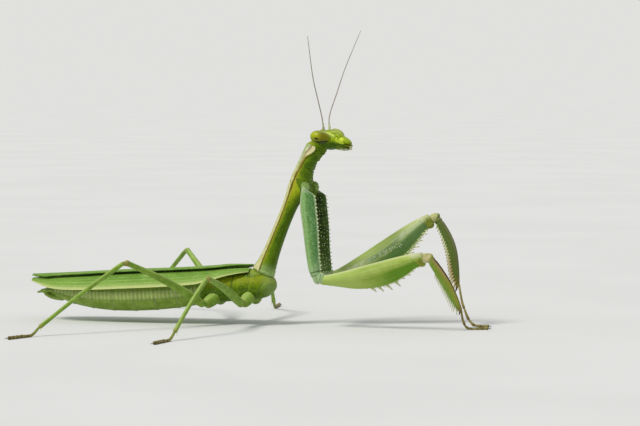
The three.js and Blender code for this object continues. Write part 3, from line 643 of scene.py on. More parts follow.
def eye_skin(pupil):
    """Compound eye: olive shell with fine facets, browner over its outer front, a small dark spot,
    painted shade along its lower edge and a painted sheen over its top.
    """
    s = Skin("eye_skin", coat=0.15, coat_roughness=0.17, subsurface=0.1, bleed=0.4)
    x, y, z = s.parts("ball")
    wave = (s.noise(1.6, 3, 0.6) - 0.5) * 0.5
    s.ground((x + wave).ease(-0.35, 0.3), "aab212", "747000")
    s.paint((x + wave).ease(0.5, 0.95, 0, 0.7), "848a08")
    s.paint((z + wave).ease(0.35, -0.3, 0, 0.6), "6f7a02")
    # Painted sheen: the top of the eye turns greyish olive.
    s.paint(z.ease(0.6, 0.95, 0, 0.75), "7c8044")
    s.paint(y.ease(0.5, 0, 0, 0.9), s.mix(z.ease(0.2, 0.8), "8c9f18", "a8b44c"))
    # Painted shade: a dark band along the eye's lower edge, with darker olive below it.
    low = z - x * 0.22
    s.paint(low.ease(-0.66, -0.8), "44520c")
    shade = (low + wave * 0.1).band(-0.66, 0.13, 0.15)
    shade = shade * (x.ease(-0.95, -0.4, 0.3, 1) * x.ease(0.95, 0.65, 0, 0.9))
    s.paint(shade, "252c02")
    near = s.add("ShaderNodeVectorMath", {0: s.vector("ball"), 1: pupil}, output="Value",
                 operation="DISTANCE")
    s.paint(near.ease(0.4, 0.16, 0, 0.5), "43420c")
    s.paint(near.ease(0.17, 0.09), "0d0e05")
    s.relief(s.cells(16), -0.012, 0.5)
    return s.finish(2.5, 2, 0.26, 0.36)


def mouth_skin():
    """Mouthparts: dark green, with pale lips, darker jaw tips and painted shade in the gaps."""
    s = Skin("mouth_skin", coat=0.04, coat_roughness=0.3, subsurface=0.1, bleed=0.2)
    s.ground(s.noise(1.8, 3).ease(0.35, 0.7), "43580a", "66791a")
    s.paint(s.value("lip"), "d2d3ae")
    # Painted shade in the gaps between the lips, and the jaws' darker tips.
    s.paint(s.value("dusk"), "33280c")
    s.relief(s.noise(8, 3), 0.02, 0.7)
    return s.finish(3, 2, 0.34, 0.5)


def feeler_skin():
    """Feelers: pale green at the root, grey-brown beyond."""
    s = Skin("feeler_skin", coat=0.05, subsurface=0.05)
    s.ground(s.value("tip").ease(0, 0.12), "c3caa0", "a0968a")
    s.paint(s.value("tip").ease(0.3, 1, 0, 0.5), "6e6054")
    s.paint(s.noise(2, 3).ease(0.4, 0.7, 0, 0.35), "c3bba9")
    s.relief(s.noise(14, 2), 0.01, 0.6)
    return s.finish(4, 2, 0.4, 0.6)


def coxa_skin():
    """Fore coxa: pale blue-green outside with light edges, a painted highlight band, painted shade
    toward its front and in its furrows, dark and beaded inside.
    """
    s = Skin("coxa_skin", subsurface=0.14, bleed=0.35)
    out, over, along = s.parts("lay")
    patch = s.noise(0.7, 4, 0.6, s.stretched(1, 1, 0.35))
    s.ground(patch.ease(0.35, 0.7), "52813a", "6a964e")
    # Painted highlight: a light band down the outer face; painted shade: darker toward the front.
    s.paint(over.band(-0.4, 0.12, 0.3), "84ab66")
    s.paint(over.ease(0, 0.6, 0, 0.7), "52834a")
    s.paint(over.ease(-0.62, -0.85, 0, 0.9), "bccda0")
    s.paint(over.ease(0.8, 0.95, 0, 0.9), "b9d09f")
    s.paint(along.ease(0.72, 0.98, 0, 0.55), "a9c491")
    fleck = s.noise(5, 3, 0.7, s.stretched(1, 1, 0.5))
    s.paint(fleck.ease(0.48, 0.7, 0, 0.5), "b4cca2")
    s.paint(fleck.ease(0.45, 0.28, 0, 0.4), "4e7a48")
    dark = s.mix(s.noise(1.4, 4, 0.6).ease(0.35, 0.65), "25380d", "40581c")
    dark = s.mix(over.ease(0.3, 0.9, 0, 0.4), dark, "4c6a30")
    dark = s.mix(along.ease(0.7, 1, 0, 0.5), dark, "6c8a4c")
    s.paint(out.ease(0.1, -0.35), dark)
    s.paint(s.value("fold"), "c0d3a4")
    # Painted shade in the furrows near the coxa's end, its base wrinkles and the trochanter's furrows.
    s.paint(s.value("crease"), "46602c")
    s.relief(s.cells(3), -0.04, out.ease(0, -0.4, 0.2, 0.6))
    s.relief(s.noise(7, 3, 0.65), 0.04, 0.8)
    return s.finish(2, 3, 0.44, 0.6)


def thigh_skin():
    """Fore femur: pale yellow-green, cream above, greener toward the knee, with fine lines, a painted
    sheen on its inner face and painted shade in its grooves.
    """
    s = Skin("thigh_skin", subsurface=0.14, bleed=0.4)
    out, over, along = s.parts("lay")
    patch = s.noise(0.6, 4, 0.6)
    streak = s.noise(1, 2, 0.5, s.joined(along * 3, over * 16, out))
    s.ground(patch.ease(0.35, 0.7), "8fa93c", "a6bc52")
    s.paint(streak.ease(0.45, 0.68, 0, 0.4), "c9d684")
    s.paint(streak.ease(0.45, 0.28, 0, 0.4), "84a53c")
    dot = s.cells(3.2, s.stretched(1, 1, 1.6)).ease(0.22, 0.06)
    s.paint(dot * 0.3, "d3dc8c")
    s.paint(over.ease(0.35, 0.8, 0, 0.25), "bccf78")
    s.paint(over.ease(0.1, -0.7, 0, 0.35), "84a83c")
    s.paint(along.ease(0.5, 0.25, 0, 0.55), "b3ca6c")
    far = along + (streak - 0.5) * 0.2
    low = over.ease(0.5, 0.05) * far.ease(0.42, 0.7)
    s.paint(low * along.ease(0.93, 0.88, 0, 0.9), "5a8c0c")
    inside = out.ease(0.1, -0.4)
    sink = over + (streak - 0.5) * 0.5
    sink = sink - along.ease(0.5, 0.75, 0.16, 0.37)
    # Painted sheen: a pale band over the inner face, above the teal below it.
    whitish = inside * sink.band(-0.02, 0.14, 0.2)
    whitish = whitish * s.noise(1.3, 3, 0.6).ease(0.35, 0.6, 0.25, 1)
    high = s.mix(along.ease(0.6, 0.8), "8fa25c", "c6cf98")
    s.paint(inside * 0.6, high)
    s.paint(whitish * 0.85, "bcc7a0")
    bed = inside * (along.band(0.5, 0.1, 0.1) * sink.band(-0.02, 0.12, 0.16))
    s.paint(bed * 0.7, "5f7f42")
    teal = inside * sink.ease(-0.18, -0.42)
    s.paint(teal * 0.85, s.mix(dot, "4c7238", "b3c8a0"))
    root = over.ease(-0.72, -0.9) * along.ease(0.5, 0.65)
    s.paint(root * 0.6, "8dab34")
    s.paint(over.ease(0.9, 0.985, 0, 0.65), "cdd29c")
    cap = over.ease(0.45, 0.85) * along.ease(0.82, 0.9)
    s.paint(cap * 0.55, "d2d0b4")
    s.paint(over.ease(-0.8, -0.93, 0, 0.6), "bccb94")
    lobe = along.ease(0.88, 0.925) * over.ease(0.6, 0.1, 0.25, 1)
    s.paint(lobe * 0.75, "7f8420")
    fine = s.value("line") * (0.45 - inside * 0.35)
    s.paint(fine, "d0da92")
    # Painted shade in the knee collar, the cleft at the knee and the gutter below.
    s.paint(s.value("groove"), "4f6420")
    s.relief(streak, 0.03, 0.5)
    s.relief(s.cells(6), -0.02, 0.5)
    s.relief(s.noise(10, 3, 0.6), 0.015, 0.5)
    return s.finish(2, 3, 0.36, 0.52)


def shin_skin():
    """Fore tibia: green with a yellowish middle, a pale inner edge and a brown outer one."""
    s = Skin("shin_skin", subsurface=0.12, bleed=0.3)
    out, over, along = s.parts("lay")
    streak = s.noise(1.6, 3, 0.55, s.joined(along * 2.5, over * 7, out))
    s.ground(streak.ease(0.35, 0.65), "74982c", "8fae44")
    s.paint(over.ease(-0.1, 0.35, 0, 0.7), "989c3a")
    tan = s.mix(along.ease(0.3, 0.5), "b39c6a", "a3a044")
    s.paint(over.ease(0.45, 0.75, 0, 0.75), tan)
    pale = over.ease(-0.62, -0.85) * along.ease(0.75, 0.45, 0.35, 1)
    s.paint(pale, "bccdab")
    inside = s.mix(streak.ease(0.35, 0.65), "4d5c26", "64733a")
    inside = s.mix(over.ease(0.3, 0.75, 0, 0.6), inside, "787c5c")
    inside = s.mix(along.ease(0.45, 0.75, 0, 0.45), inside, "4a5c1c")
    s.paint(out.ease(0.1, -0.35, 0, 0.92), inside)
    s.paint(over.ease(0.86, 0.95) * out.ease(-0.5, 0.1, 0.45, 1),
            s.mix(along.ease(0.35, 0.55), "4c2a12", "575018"))
    s.paint(along.ease(0.86, 1, 0, 0.8), "7a6a2c")
    boss = s.mix(s.noise(1.7, 3, 0.6).ease(0.35, 0.62), "aaa468", "cbc290")
    boss = s.mix(out.ease(-0.1, -0.4, 0, 0.7), boss, "b9bd7c")
    boss = s.mix(s.noise(3.4, 2, 0.6).ease(0.36, 0.26, 0, 0.6), boss, "7d6a3e")
    s.paint(s.value("knob"), boss)
    s.relief(streak, 0.04, 0.5)
    s.relief(s.noise(9, 3), 0.02, 0.6)
    return s.finish(2.4, 3, 0.38, 0.54)


def foot_skin():
    """Feet: straw brown with dark joints, green where they leave the leg."""
    s = Skin("foot_skin", coat=0.06, subsurface=0.06)
    s.ground(s.noise(1.6, 3).ease(0.35, 0.7), "7a6f38", "9d925c")
    s.paint(s.value("joint"), "4c3a1c")
    s.paint(s.value("green"), "7d9a38")
    s.relief(s.noise(10, 3), 0.02, 0.6)
    return s.finish(3, 2, 0.42, 0.6)


def claw_skin():
    """Claws and hooks: olive at the root, nearly black at the point."""
    s = Skin("claw_skin", coat=0.25, coat_roughness=0.2)
    s.ground(s.value("tip").ease(0.1, 0.8), "86853c", "2b1a0e")
    s.paint(s.noise(4, 2).ease(0.4, 0.7, 0, 0.4), "8a6a36")
    return s.finish(5, 2, 0.25, 0.4)


def spine_skin():
    """Leg spines: ivory, greenish at the root and brown at the very point."""
    s = Skin("spine_skin", coat=0.2, coat_roughness=0.25, subsurface=0.1, bleed=0.15)
    tip = s.value("tip")
    s.ground(tip.ease(0.15, 0.6), "a6ba74", "dfe0b8")
    s.paint(s.value("cool") * 0.7, "9db58c")
    s.paint(s.value("warm") * 0.75, "ab8450")
    s.paint(tip.ease(0.62, 0.95) * s.value("dark"), "5c3a1c")
    s.paint(s.noise(3, 2).ease(0.4, 0.7, 0, 0.2), "efeed8")
    return s.finish(5, 2, 0.35, 0.5)


def walking_skin():
    """Slim walking legs: fresh green with paler ridges, brownish at the joints."""
    s = Skin("walking_skin", coat=0.08, coat_roughness=0.35, subsurface=0.12, bleed=0.3)
    _, over, _ = s.parts("lay")
    s.ground(s.noise(0.9, 4, 0.6).ease(0.35, 0.7), "6f902a", "8aab44")
    s.paint(over.ease(0.55, 0.9, 0, 0.6), "adc46c")
    s.paint(s.value("joint"), "98884a")
    s.paint(s.cells(4.5).ease(0.2, 0.06, 0, 0.35), "c0d184")
    s.relief(s.noise(7, 3, 0.6), 0.03, 0.7)
    return s.finish(2, 3, 0.4, 0.56)


def wing_skin():
    """Leathery wing cover: green, netted with paler veins, with a cream front edge and stigma."""
    s = Skin("wing_skin", coat=0.1, coat_roughness=0.35, subsurface=0.1, bleed=0.3)
    _, across, along = s.parts("lay")
    s.ground(s.noise(0.35, 4, 0.6).ease(0.35, 0.7), "5c8a20", "75a036")
    s.paint(across.ease(0.3, 0.16, 0, 0.45), "8fb04c")
    net = s.cells(1, s.joined(along * 58, across * 26, 0), "DISTANCE_TO_EDGE")
    veins = net.ease(0.09, 0.02)
    s.paint(veins * 0.5, "9dbf60")
    s.paint(s.value("vein"), "a9c56c")
    s.paint(across.ease(0.12, 0.02, 0, 0.85), "cbd48a")
    s.paint(s.value("mark"), "e0e2bb")
    s.relief(veins, 0.035, 0.8)
    s.relief(s.noise(5, 3, 0.6), 0.02, 0.6)
    return s.finish(1.6, 3, 0.4, 0.56)


def belly_skin():
    """Abdomen: green plates with paler joints between them and along the flanks."""
    s = Skin("belly_skin", coat=0.1, coat_roughness=0.35, subsurface=0.12, bleed=0.35)
    s.ground(s.noise(0.6, 4, 0.6).ease(0.35, 0.7), "728f2c", "8fab48")
    s.paint(s.value("fold") * 0.8, "b9c684")
    s.paint(s.value("joint"), "5c7628")
    s.paint(s.cells(3.2).ease(0.2, 0.05, 0, 0.35), "b4c672")
    s.relief(s.cells(3.2), -0.03, 0.6)
    s.relief(s.noise(6, 3, 0.6), 0.03, 0.7)
    return s.finish(1.8, 3, 0.38, 0.54)


# ---- fore body -------------------------------------------------------------------------------

BODY = body_skin()
prothorax = Path(PROTHORAX_LINE)
back_at, chest_at, width_at = map(profile, (PROTHORAX_BACK, PROTHORAX_CHEST, PROTHORAX_WIDTH))
HEAD_TURN = rotation(2, HEAD_YAW) @ rotation(1, HEAD_PITCH) @ rotation(0, HEAD_ROLL)


def on_head(points):
    """Points of the head's own frame in the design frame."""
    return np.array(points, dtype=float) @ HEAD_TURN.T + np.array(HEAD_CENTRE)


def prothorax_skin(shape):
    """Prothorax: folds at its flared base, seams where the coxae spring, a wrinkled throat."""
    t, tt, sw, c, sn = section(BODY_COLUMNS, 300, 0.03, 0.02)
    a = turn(BODY_COLUMNS)[None]
    side = (width_at(tt) / 2 - 0.05) * sw
    top = (back_at(tt) - 0.2) * sw
    chest = (chest_at(tt) - 0.28 * smooth(tt, 0.82, 0.9)) * sw
    across = side * power(c, 0.92 - 0.32 * smooth(sn, 0, 0.4))
    points = sweep(prothorax, DORSAL, t, across, lifted(top, chest, power(sn, 0.96)))
    flank = np.abs(c) ** 1.5
    low = smooth(-sn, -0.1, 0.6)
    folds = smooth(tt, 0.16, 0.02) * (np.sin(tt * 210 + c * 2) * 0.5 + 0.5)
    seam = hump(tt, 0.735 + 0.02 * sn, 0.008) * low
    seam += hump(tt, 0.83 + 0.015 * sn, 0.007) * low * 0.8
    seam += hump(tt, 0.9 + 0.02 * np.cos(a * 3), 0.006) * low * 0.7
    ridges = np.sin(tt * 300 + 2 * np.cos(a * 2) + 3 * sn)
    wrinkle = smooth(tt, 0.74, 0.8) * low * (0.5 + 0.5 * ridges)
    furrow = hump(sn, -0.35 + 0.2 * np.sin(tt * 9), 0.1) * within(tt, 0.1, 0.3, 0.5, 0.6)
    lump = 0.14 * hump(tt, 0.655, 0.03) * flank * smooth(sn, 0.5, -0.1)
    swelling = 0.05 * np.sin(tt * 47 + 1.7 * c) * np.sin(3 * a + tt * 20) * smooth(tt, 0.55, 0.7)
    amount = lump + swelling - 0.06 * folds - 0.12 * seam - 0.05 * furrow - 0.07 * wrinkle
    line = hump(sn, 0.46, 0.16) * within(tt, 0.03, 0.12, 0.95, 1)
    # crease paints shade into the seams, the furrow and the throat's wrinkles.
    shape.grid(
        swollen(points, amount * sw), lay=lay_of(c, sn, tt),
        line=line * (0.45 + 0.35 * hump(tt, 0.62, 0.12)),
        blush=(hump(tt, 0.64, 0.08) * smooth(sn, -0.8, 0.1)
               + 0.35 * smooth(tt, 0.86, 0.97) * smooth(sn, -0.2, 0.5)),
        fold=np.maximum(smooth(tt, 0.12, 0.02) * smooth(sn, 0.7, 0),
                        0.6 * hump(tt, 0.7, 0.02) * flank * low),
        crease=limit(seam + 0.35 * furrow + 0.35 * wrinkle**3))


def neck_skin(shape):
    """Soft ringed skin from the shield's mouth up under the head."""
    neck = Path([(6.9, 0, 26.0), (7.75, 0, 27.7), *on_head([(-0.75, 0, -0.9), (-0.3, 0, -0.1)])])
    t, tt, sw, c, sn = section(BODY_COLUMNS, 110, 0.05, 0.1)
    a = turn(BODY_COLUMNS)[None]
    throat = profile([(0, 1.5), (0.2, 1.58), (0.4, 1.78), (0.6, 1.7), (1, 1.25)])(tt)
    hoops = np.sin(tt * 50 + 1.6 * sn + 1.1 * np.cos(3 * a))
    pleats = np.sin(a * 17 + 2 * np.sin(tt * 17))
    ripple = (0.05 * hoops + 0.04 * pleats) * within(tt, 0.1, 0.3, 0.45, 0.75)
    across = (1.15 + ripple) * sw * c
    over = np.where(sn > 0, 1.05 + ripple, throat + ripple) * sw * sn
    # crease paints shade into the troughs between the hoops.
    shape.grid(sweep(neck, vec(-0.87, 0, 0.5), t, across, over), lay=lay_of(c, sn, tt),
               crease=0.5 * smooth(-hoops, 0.5, 1) * smooth(tt, 0.2, 0.4), blush=0.1)


def coxa_socket(shape, side, hip, trochanter):
    """Soft lumpy skin where a fore coxa springs from the side."""
    hip = np.array(hip)
    down = unit(np.array(trochanter) - hip)
    inward = vec(0, -side, 0)
    # The larger bead is darkened a little all over: painted shade deep in the socket.
    bead(shape, hip - AHEAD * 0.62 + inward * 0.8 + down * 0.1, down + 0.22 * AHEAD, AHEAD,
         (2.2, 0.95, 0.88), 44, 30, crease=0.3)
    bead(shape, hip - AHEAD * 0.05 + inward * 0.4 + down * 0.15, down + 0.3 * AHEAD, AHEAD,
         (0.85, 0.6, 0.75), 44, 30, fold=0.75)
    knobs(shape, hip - AHEAD * 0.05 + inward * 0.4 + down * 0.1, down, AHEAD,
          (0.85, 0.6, 0.75), 0.11, 70, 5 + side, fold=1)


def fore_body():
    """Prothorax, neck and the sockets of the fore legs in one skin."""
    shape = Shape()
    prothorax_skin(shape)
    neck_skin(shape)
    for name, sign in SIDES:
        coxa_socket(shape, sign, FORE[name]["hip"], FORE[name]["trochanter"])
    shape.build("fore_body", BODY, "body", "prothorax", "neck")


def shield():
    """Pronotum: a long saddle with a rim that turns out, a keel and a cross furrow."""
    t, swell = rings(300, 0.035, 0.03, 0.004, 0.995)
    tt, sw = t[:, None], swell[:, None]
    s = np.linspace(-1, 1, 91)[None]
    # The saddle narrows to the head, where its front corners run out and down.
    angle = s * np.radians(SHIELD_REACH + 14 * smooth(tt, 0.16, 0) + 16 * smooth(tt, 0.7, 0.95)
                           + 24 * within(tt, 0.88, 0.97, 0.965, 1.015))
    side = width_at(tt) / 2 + SHIELD_FLANGE * 0.25 + 0.16 * smooth(tt, 0.86, 0.93)
    edge = np.abs(s)
    teeth = 0.04 * np.abs(np.sin(tt * 150)) * smooth(edge, 0.95, 1)
    across = side * np.abs(np.sin(angle)) ** 0.85 + smooth(edge, 0.9, 1) * 0.05 + teeth
    over = back_at(tt) * power(np.cos(angle), 0.85)
    outer = sweep(prothorax, DORSAL, t, np.sign(s) * across * sw, over * sw)
    keel = 0.09 * hump(s, 0, 0.04) * within(tt, 0.05, 0.15, 0.64, 0.72)
    keel -= 0.06 * hump(s, 0, 0.045) * smooth(tt, 0.74, 0.78)
    furrow = 0.12 * hump(tt, 0.7 - 0.02 * np.cos(angle * 1.4), 0.008) * smooth(edge, 0.95, 0.7)
    normal = facing(outer, DORSAL)
    outer = outer + normal * ((keel - furrow - 0.05 * hump(edge, 0.82, 0.05)) * sw)[..., None]
    inner = outer - normal * (SHIELD_THICKNESS * sw)[..., None]
    # line is painted shade in the cross furrow.
    lay, line = lay_of(s, np.cos(angle), tt), limit(furrow * 8)
    Shape().grid(two_sided(outer, inner), lay=two_sided(lay, lay), line=two_sided(line, 0 * line)).build(
        "shield", shield_skin(), "shield", "pronotum")


fore_body()
shield()


# ---- head ------------------------------------------------------------------------------------

def eye_frame(side):
    """Centre of an eye and the turn from its own axes to the head's."""
    return np.array(EYE_CENTRE) * vec(1, side, 1), rotation(2, -side * EYE_TILT) @ rotation(1, -EYE_LIFT)


def eye(side, name, skin):
    """Egg-shaped compound eye, with the place of each point on its unit ball."""
    latitude = np.linspace(-np.pi / 2 + 0.02, np.pi / 2 - 0.02, 90)[:, None]
    around = turn(120)[None]
    x, y, z = np.broadcast_arrays(np.sin(latitude), np.cos(latitude) * np.cos(around),
                                  np.cos(latitude) * np.sin(around))
    taper = 1 - EYE_TAPER * x
    local = np.stack([x, y * taper, z * taper], axis=-1) * EYE_RADII
    centre, turned = eye_frame(side)
    Shape().grid(on_head(local @ turned.T + centre), ball=lay_of(x, y * side, z)).build(
        f"eye_{name}_dome", skin, "eye", f"eye_{name}")


def eye_distance(points, side):
    """How far points lie outside the eye's surface, roughly, in millimetres."""
    centre, turned = eye_frame(side)
    x, y, z = np.moveaxis((points - centre) @ turned / EYE_RADII, -1, 0)
    taper = 1 - EYE_TAPER * np.clip(x, -1, 1)
    return (np.sqrt(x**2 + (y / taper) ** 2 + (z / taper) ** 2) - 1) * EYE_RADII[2]


def head():
    """Head capsule: a blunt triangle with its plates, ridges, sutures and feeler sockets."""
    _, tt, sw, c, sn = section(260, 260, 0.07, 0.04)
    side, face, rear = (profile(size)(tt) * sw for size in (HEAD_SIDE, HEAD_FACE, HEAD_BACK))
    x = CROWN + HEAD_LENGTH * tt + 0 * c
    y = side * power(c, 0.9)
    z = lifted(face, rear, power(sn, 0.92))
    ay = np.abs(y)
    front = smooth(sn, 0, 0.4)
    points = np.stack([x, y, z], axis=-1)

    def plate_at(centre, half, width, soft):
        """1 inside a rounded plate on the face, 0 outside it."""
        edge = ((np.abs(x - centre) / half) ** 4 + (ay / width) ** 4) ** 0.25
        return smooth(edge, 1.06, soft) * front

    # Plates of the face, from the feelers down: frontal plate, clypeus with its cross ridge, labrum.
    plate = plate_at(0.5, 0.68, 0.7 + 0.32 * smooth(x, -0.2, 1.1), 0.94)
    clypeus = plate_at(1.9, 0.62, 0.86, 0.92)
    labrum = plate_at(3.35, 0.82, 0.78 - 0.14 * smooth(x, 3, 4.2), 0.9)
    cross = front * (hump(x, 1.23, 0.05) * smooth(ay, 1.25, 1)
                     + hump(x, 2.54, 0.045) * smooth(ay, 1, 0.85))
    shelf = hump(x, 1.95, 0.09) * smooth(ay, 1.15, 0.95) * smooth(sn, -0.1, 0.25)
    jaw = hump(ay, 0.93 - 0.12 * smooth(x, 2, 4.2), 0.05) * smooth(x, 1.2, 1.5) * smooth(sn, 0.1, 0.35)
    # Cheek: a ridge down to the jaw hinge, the sutures beside it, and the gape of the mouth.
    cheek_ridge = hump(z, 0.24 + 0.3 * (x - 3.1) ** 2, 0.15) * within(x, 2.3, 2.7, 3.5, 3.9)
    cheek_line = hump(z, -0.22 - 0.05 * (x - 1.6), 0.06) * within(x, 1.5, 2, 3.7, 4.1)
    post = (hump(x, 2.3 - 0.4 * (z - 0.5), 0.17) * within(z, 0.1, 0.3, 0.75, 0.95)
            * smooth(ay, 0.95, 1.15))
    patch = hump(x, 2.95, 0.42) * hump(ay, 0.85, 0.28) * front
    hinge = hump(np.hypot(x - 2.05, z + 0.55), 0.26, 0.07) * smooth(ay, 0.5, 0.8)
    gape = hump(z, 0.37 + 0.06 * (x - 4), 0.085) * smooth(x, 3.6, 3.85) * smooth(sn, 0.98, 0.85)
    gape = np.maximum(gape, hump(z, 0, 0.07) * smooth(x, 3.95, 4.15))
    crown = sum(hump(y, place, 0.07) for place in (-1.1, -0.5, 0.5, 1.1))
    crown = crown * within(x, -0.75, -1.1, -1.45, -1.6)
    beads = sum(hump(x, px, 0.2) * hump(y, py, 0.2) for px, py in OCELLI) * front
    from_root = np.hypot(x - FEELER_ROOT[0], ay - FEELER_ROOT[1])
    sockets, wells = hump(from_root, 0.29, 0.07) * front, hump(from_root, 0, 0.2) * front
    near = np.minimum(eye_distance(points, 1), eye_distance(points, -1))
    groove = hump(near, 0.5, 0.08) * smooth(x, 1.2, 1.8)
    brow = hump(near, 0.3 + 0.1 * smooth(x, 0.8, 1.6), 0.26) * within(x, -0.8, -0.2, 1.5, 2.3) * front
    amount = (0.06 * plate + 0.08 * clypeus + 0.09 * shelf + 0.09 * labrum - 0.06 * cross - 0.1 * jaw
              + 0.07 * cheek_ridge - 0.1 * cheek_line + 0.05 * hinge - 0.16 * gape - 0.04 * crown
              + 0.1 * beads + 0.1 * sockets - 0.08 * wells + 0.05 * hump(near, 0.12, 0.1)
              - 0.04 * groove + 0.08 * brow + 0.04 * post + 0.05 * patch
              + 0.03 * hump(ay, 0.4, 0.09) * plate - 0.03 * hump(ay, 0, 0.15) * plate)
    lip = smooth(x, 4.45, 4.53) * 0.8
    # The patch term paints a pale highlight on the swelling at each side of the face.
    bright = (0.3 * plate + 0.35 * shelf + 0.42 * cheek_ridge + 0.25 * labrum + 0.6 * post
              + 0.9 * patch + 0.3 * clypeus * hump(ay, 0.7, 0.2))
    Shape().grid(
        on_head(swollen(points, amount * sw)), rim=limit(0.95 * brow), lip=lip,
        # groove paints shade into the sutures, the dips by the ridges, the eye grooves and the crown.
        groove=limit(0.3 * cross + 0.45 * jaw + 0.8 * cheek_line + groove + crown * 0.5),
        plate=limit(bright), cheek=smooth(sn, 0.38, -0.2) * smooth(x, -0.6, 0.6),
        # The gape term is painted shade in the mouth's gap; the labrum's darker end is its own colour.
        dusk=limit(gape * 1.35 + 0.45 * smooth(x, 3.8, 4.3) * front) * (1 - 0.6 * lip)).build(
            "head_capsule", head_skin(), "head", "head")


def underlip(shape):
    """Lower lip: pale at its tip and below, with painted shade above it, in the gape."""
    path = Path(on_head([(1.4, 0, -0.93), (3.0, 0, -0.5), (4.6, 0, 0.04)]))
    t, tt, sw, c, sn = section(72, 90, 0.2, 0.14)
    across = profile([(0, 0.78), (0.5, 0.84), (1, 0.5)])(tt) * sw * power(c, 0.85)
    over = profile([(0, 0.45), (0.5, 0.43), (1, 0.32)])(tt) * sw * sn
    over -= 0.1 * hump(c, 0, 0.1) * (sn < 0) * sw
    pale = np.maximum(0.9 * smooth(tt, 0.6, 0.72) * smooth(sn, -0.7, -0.85),
                      0.8 * smooth(tt, 0.94, 0.97))
    shade = 0.95 * smooth(sn, -0.7, -0.5) * within(tt, 0.6, 0.72, 0.94, 0.97)
    shape.grid(sweep(path, HEAD_TURN @ UP, t, across, over), lip=limit(pale), dusk=shade)


def jaw(shape, side):
    """Blade-shaped jaw, dusky toward its tip."""
    path = Path(on_head(np.array([(1.7, 0.93, -0.6), (3.0, 0.88, -0.38), (4.3, 0.42, -0.12)])
                        * vec(1, side, 1)))
    t, tt, sw, c, sn = section(72, 60, 0.15, 0.12)
    across = profile([(0, 0.24), (0.5, 0.26), (1, 0.16)])(tt) * sw * c
    over = profile([(0, 0.52), (0.5, 0.42), (1, 0.17)])(tt) * sw * sn
    shape.grid(sweep(path, HEAD_TURN @ UP, t, across, over), dusk=0.75 * smooth(tt, 0.75, 0.9))


def palp(shape, side, radius, joints):
    """Jointed palp, paler in its last two pieces."""
    stops = on_head(np.array(joints) * vec(1, side, 1))
    for k, (start, end) in enumerate(zip(stops[:-1], stops[1:])):
        t, tt, sw, c, sn = section(20, 12, 0.2, 0.2)
        size = radius * (0.8 + 0.25 * np.sin(np.pi * tt**1.4)) * sw
        pale = 0.45 if k > len(stops) - 4 else 0.05
        shape.grid(sweep(link(start, end), HEAD_TURN @ UP, t, size * c, size * sn),
                   lip=pale + 0.25 * smooth(tt, 0.85, 1))


def mouth():
    """Jaws, the underlip and two pairs of jointed palps below the labrum."""
    shape = Shape()
    underlip(shape)
    for side in (-1, 1):
        jaw(shape, side)
        palp(shape, side, 0.11, [(2.1, 0.6, -0.85), (2.7, 0.98, -0.86), (3.3, 1.02, -0.7),
                                 (3.9, 0.86, -0.5), (4.4, 0.62, -0.26)])
        palp(shape, side, 0.09, [(2.9, 0.3, -0.88), (3.5, 0.5, -0.8), (4.05, 0.48, -0.58),
                                 (4.5, 0.34, -0.32)])
    shape.build("mouth_palps", mouth_skin(), "mouth", "mouthparts")


def ocelli():
    """The three simple eyes between the feelers."""
    s = Skin("ocellus_skin", coat=0.8, coat_roughness=0.08)
    s.ground(s.noise(4, 2).ease(0.3, 0.7), "c8b85a", "8c6a20")
    shape = Shape()
    for x, y in OCELLI:
        z = profile(HEAD_FACE)((x - CROWN) / HEAD_LENGTH) * 0.93
        bead(shape, on_head((x, y, z)), HEAD_TURN @ UP, HEAD_TURN @ AHEAD, (0.16, 0.15, 0.15))
    shape.build("ocelli", s.finish(3, 2, 0.12, 0.2), "eye")


def feeler(side, name, skin):
    """Scape, pedicel and a long beaded thread that thins to its tip."""
    root = on_head(np.array(FEELER_ROOT) * vec(1, side, 1))
    path = Path(root + np.array(FEELER_LINE[name]))
    t = np.concatenate([np.linspace(0, 0.08, 90), np.linspace(0.082, 1, 900)])
    tt, a = t[:, None], turn(14)[None]
    radius = profile([(0, 0.2), (0.025, 0.21), (0.045, 0.15), (0.052, 0.1), (0.062, 0.14),
                      (0.075, 0.09), (0.3, 0.08), (0.7, 0.058), (1, 0.035)])(tt)
    radius = radius * (1 + 0.13 * np.abs(np.sin(tt * np.pi * 110)) * smooth(tt, 0.07, 0.1))
    Shape().grid(sweep(path, AHEAD, t, radius * np.cos(a), radius * np.sin(a)), tip=tt).build(
        f"feeler_{name}", skin, "feeler", f"antenna_{name}")


head()
EYE = eye_skin(PUPIL)
for name, sign in SIDES:
    eye(sign, name, EYE)
mouth()
ocelli()
FEELER = feeler_skin()
for name, sign in SIDES:
    feeler(sign, name, FEELER)


# ---- hind body -------------------------------------------------------------------------------

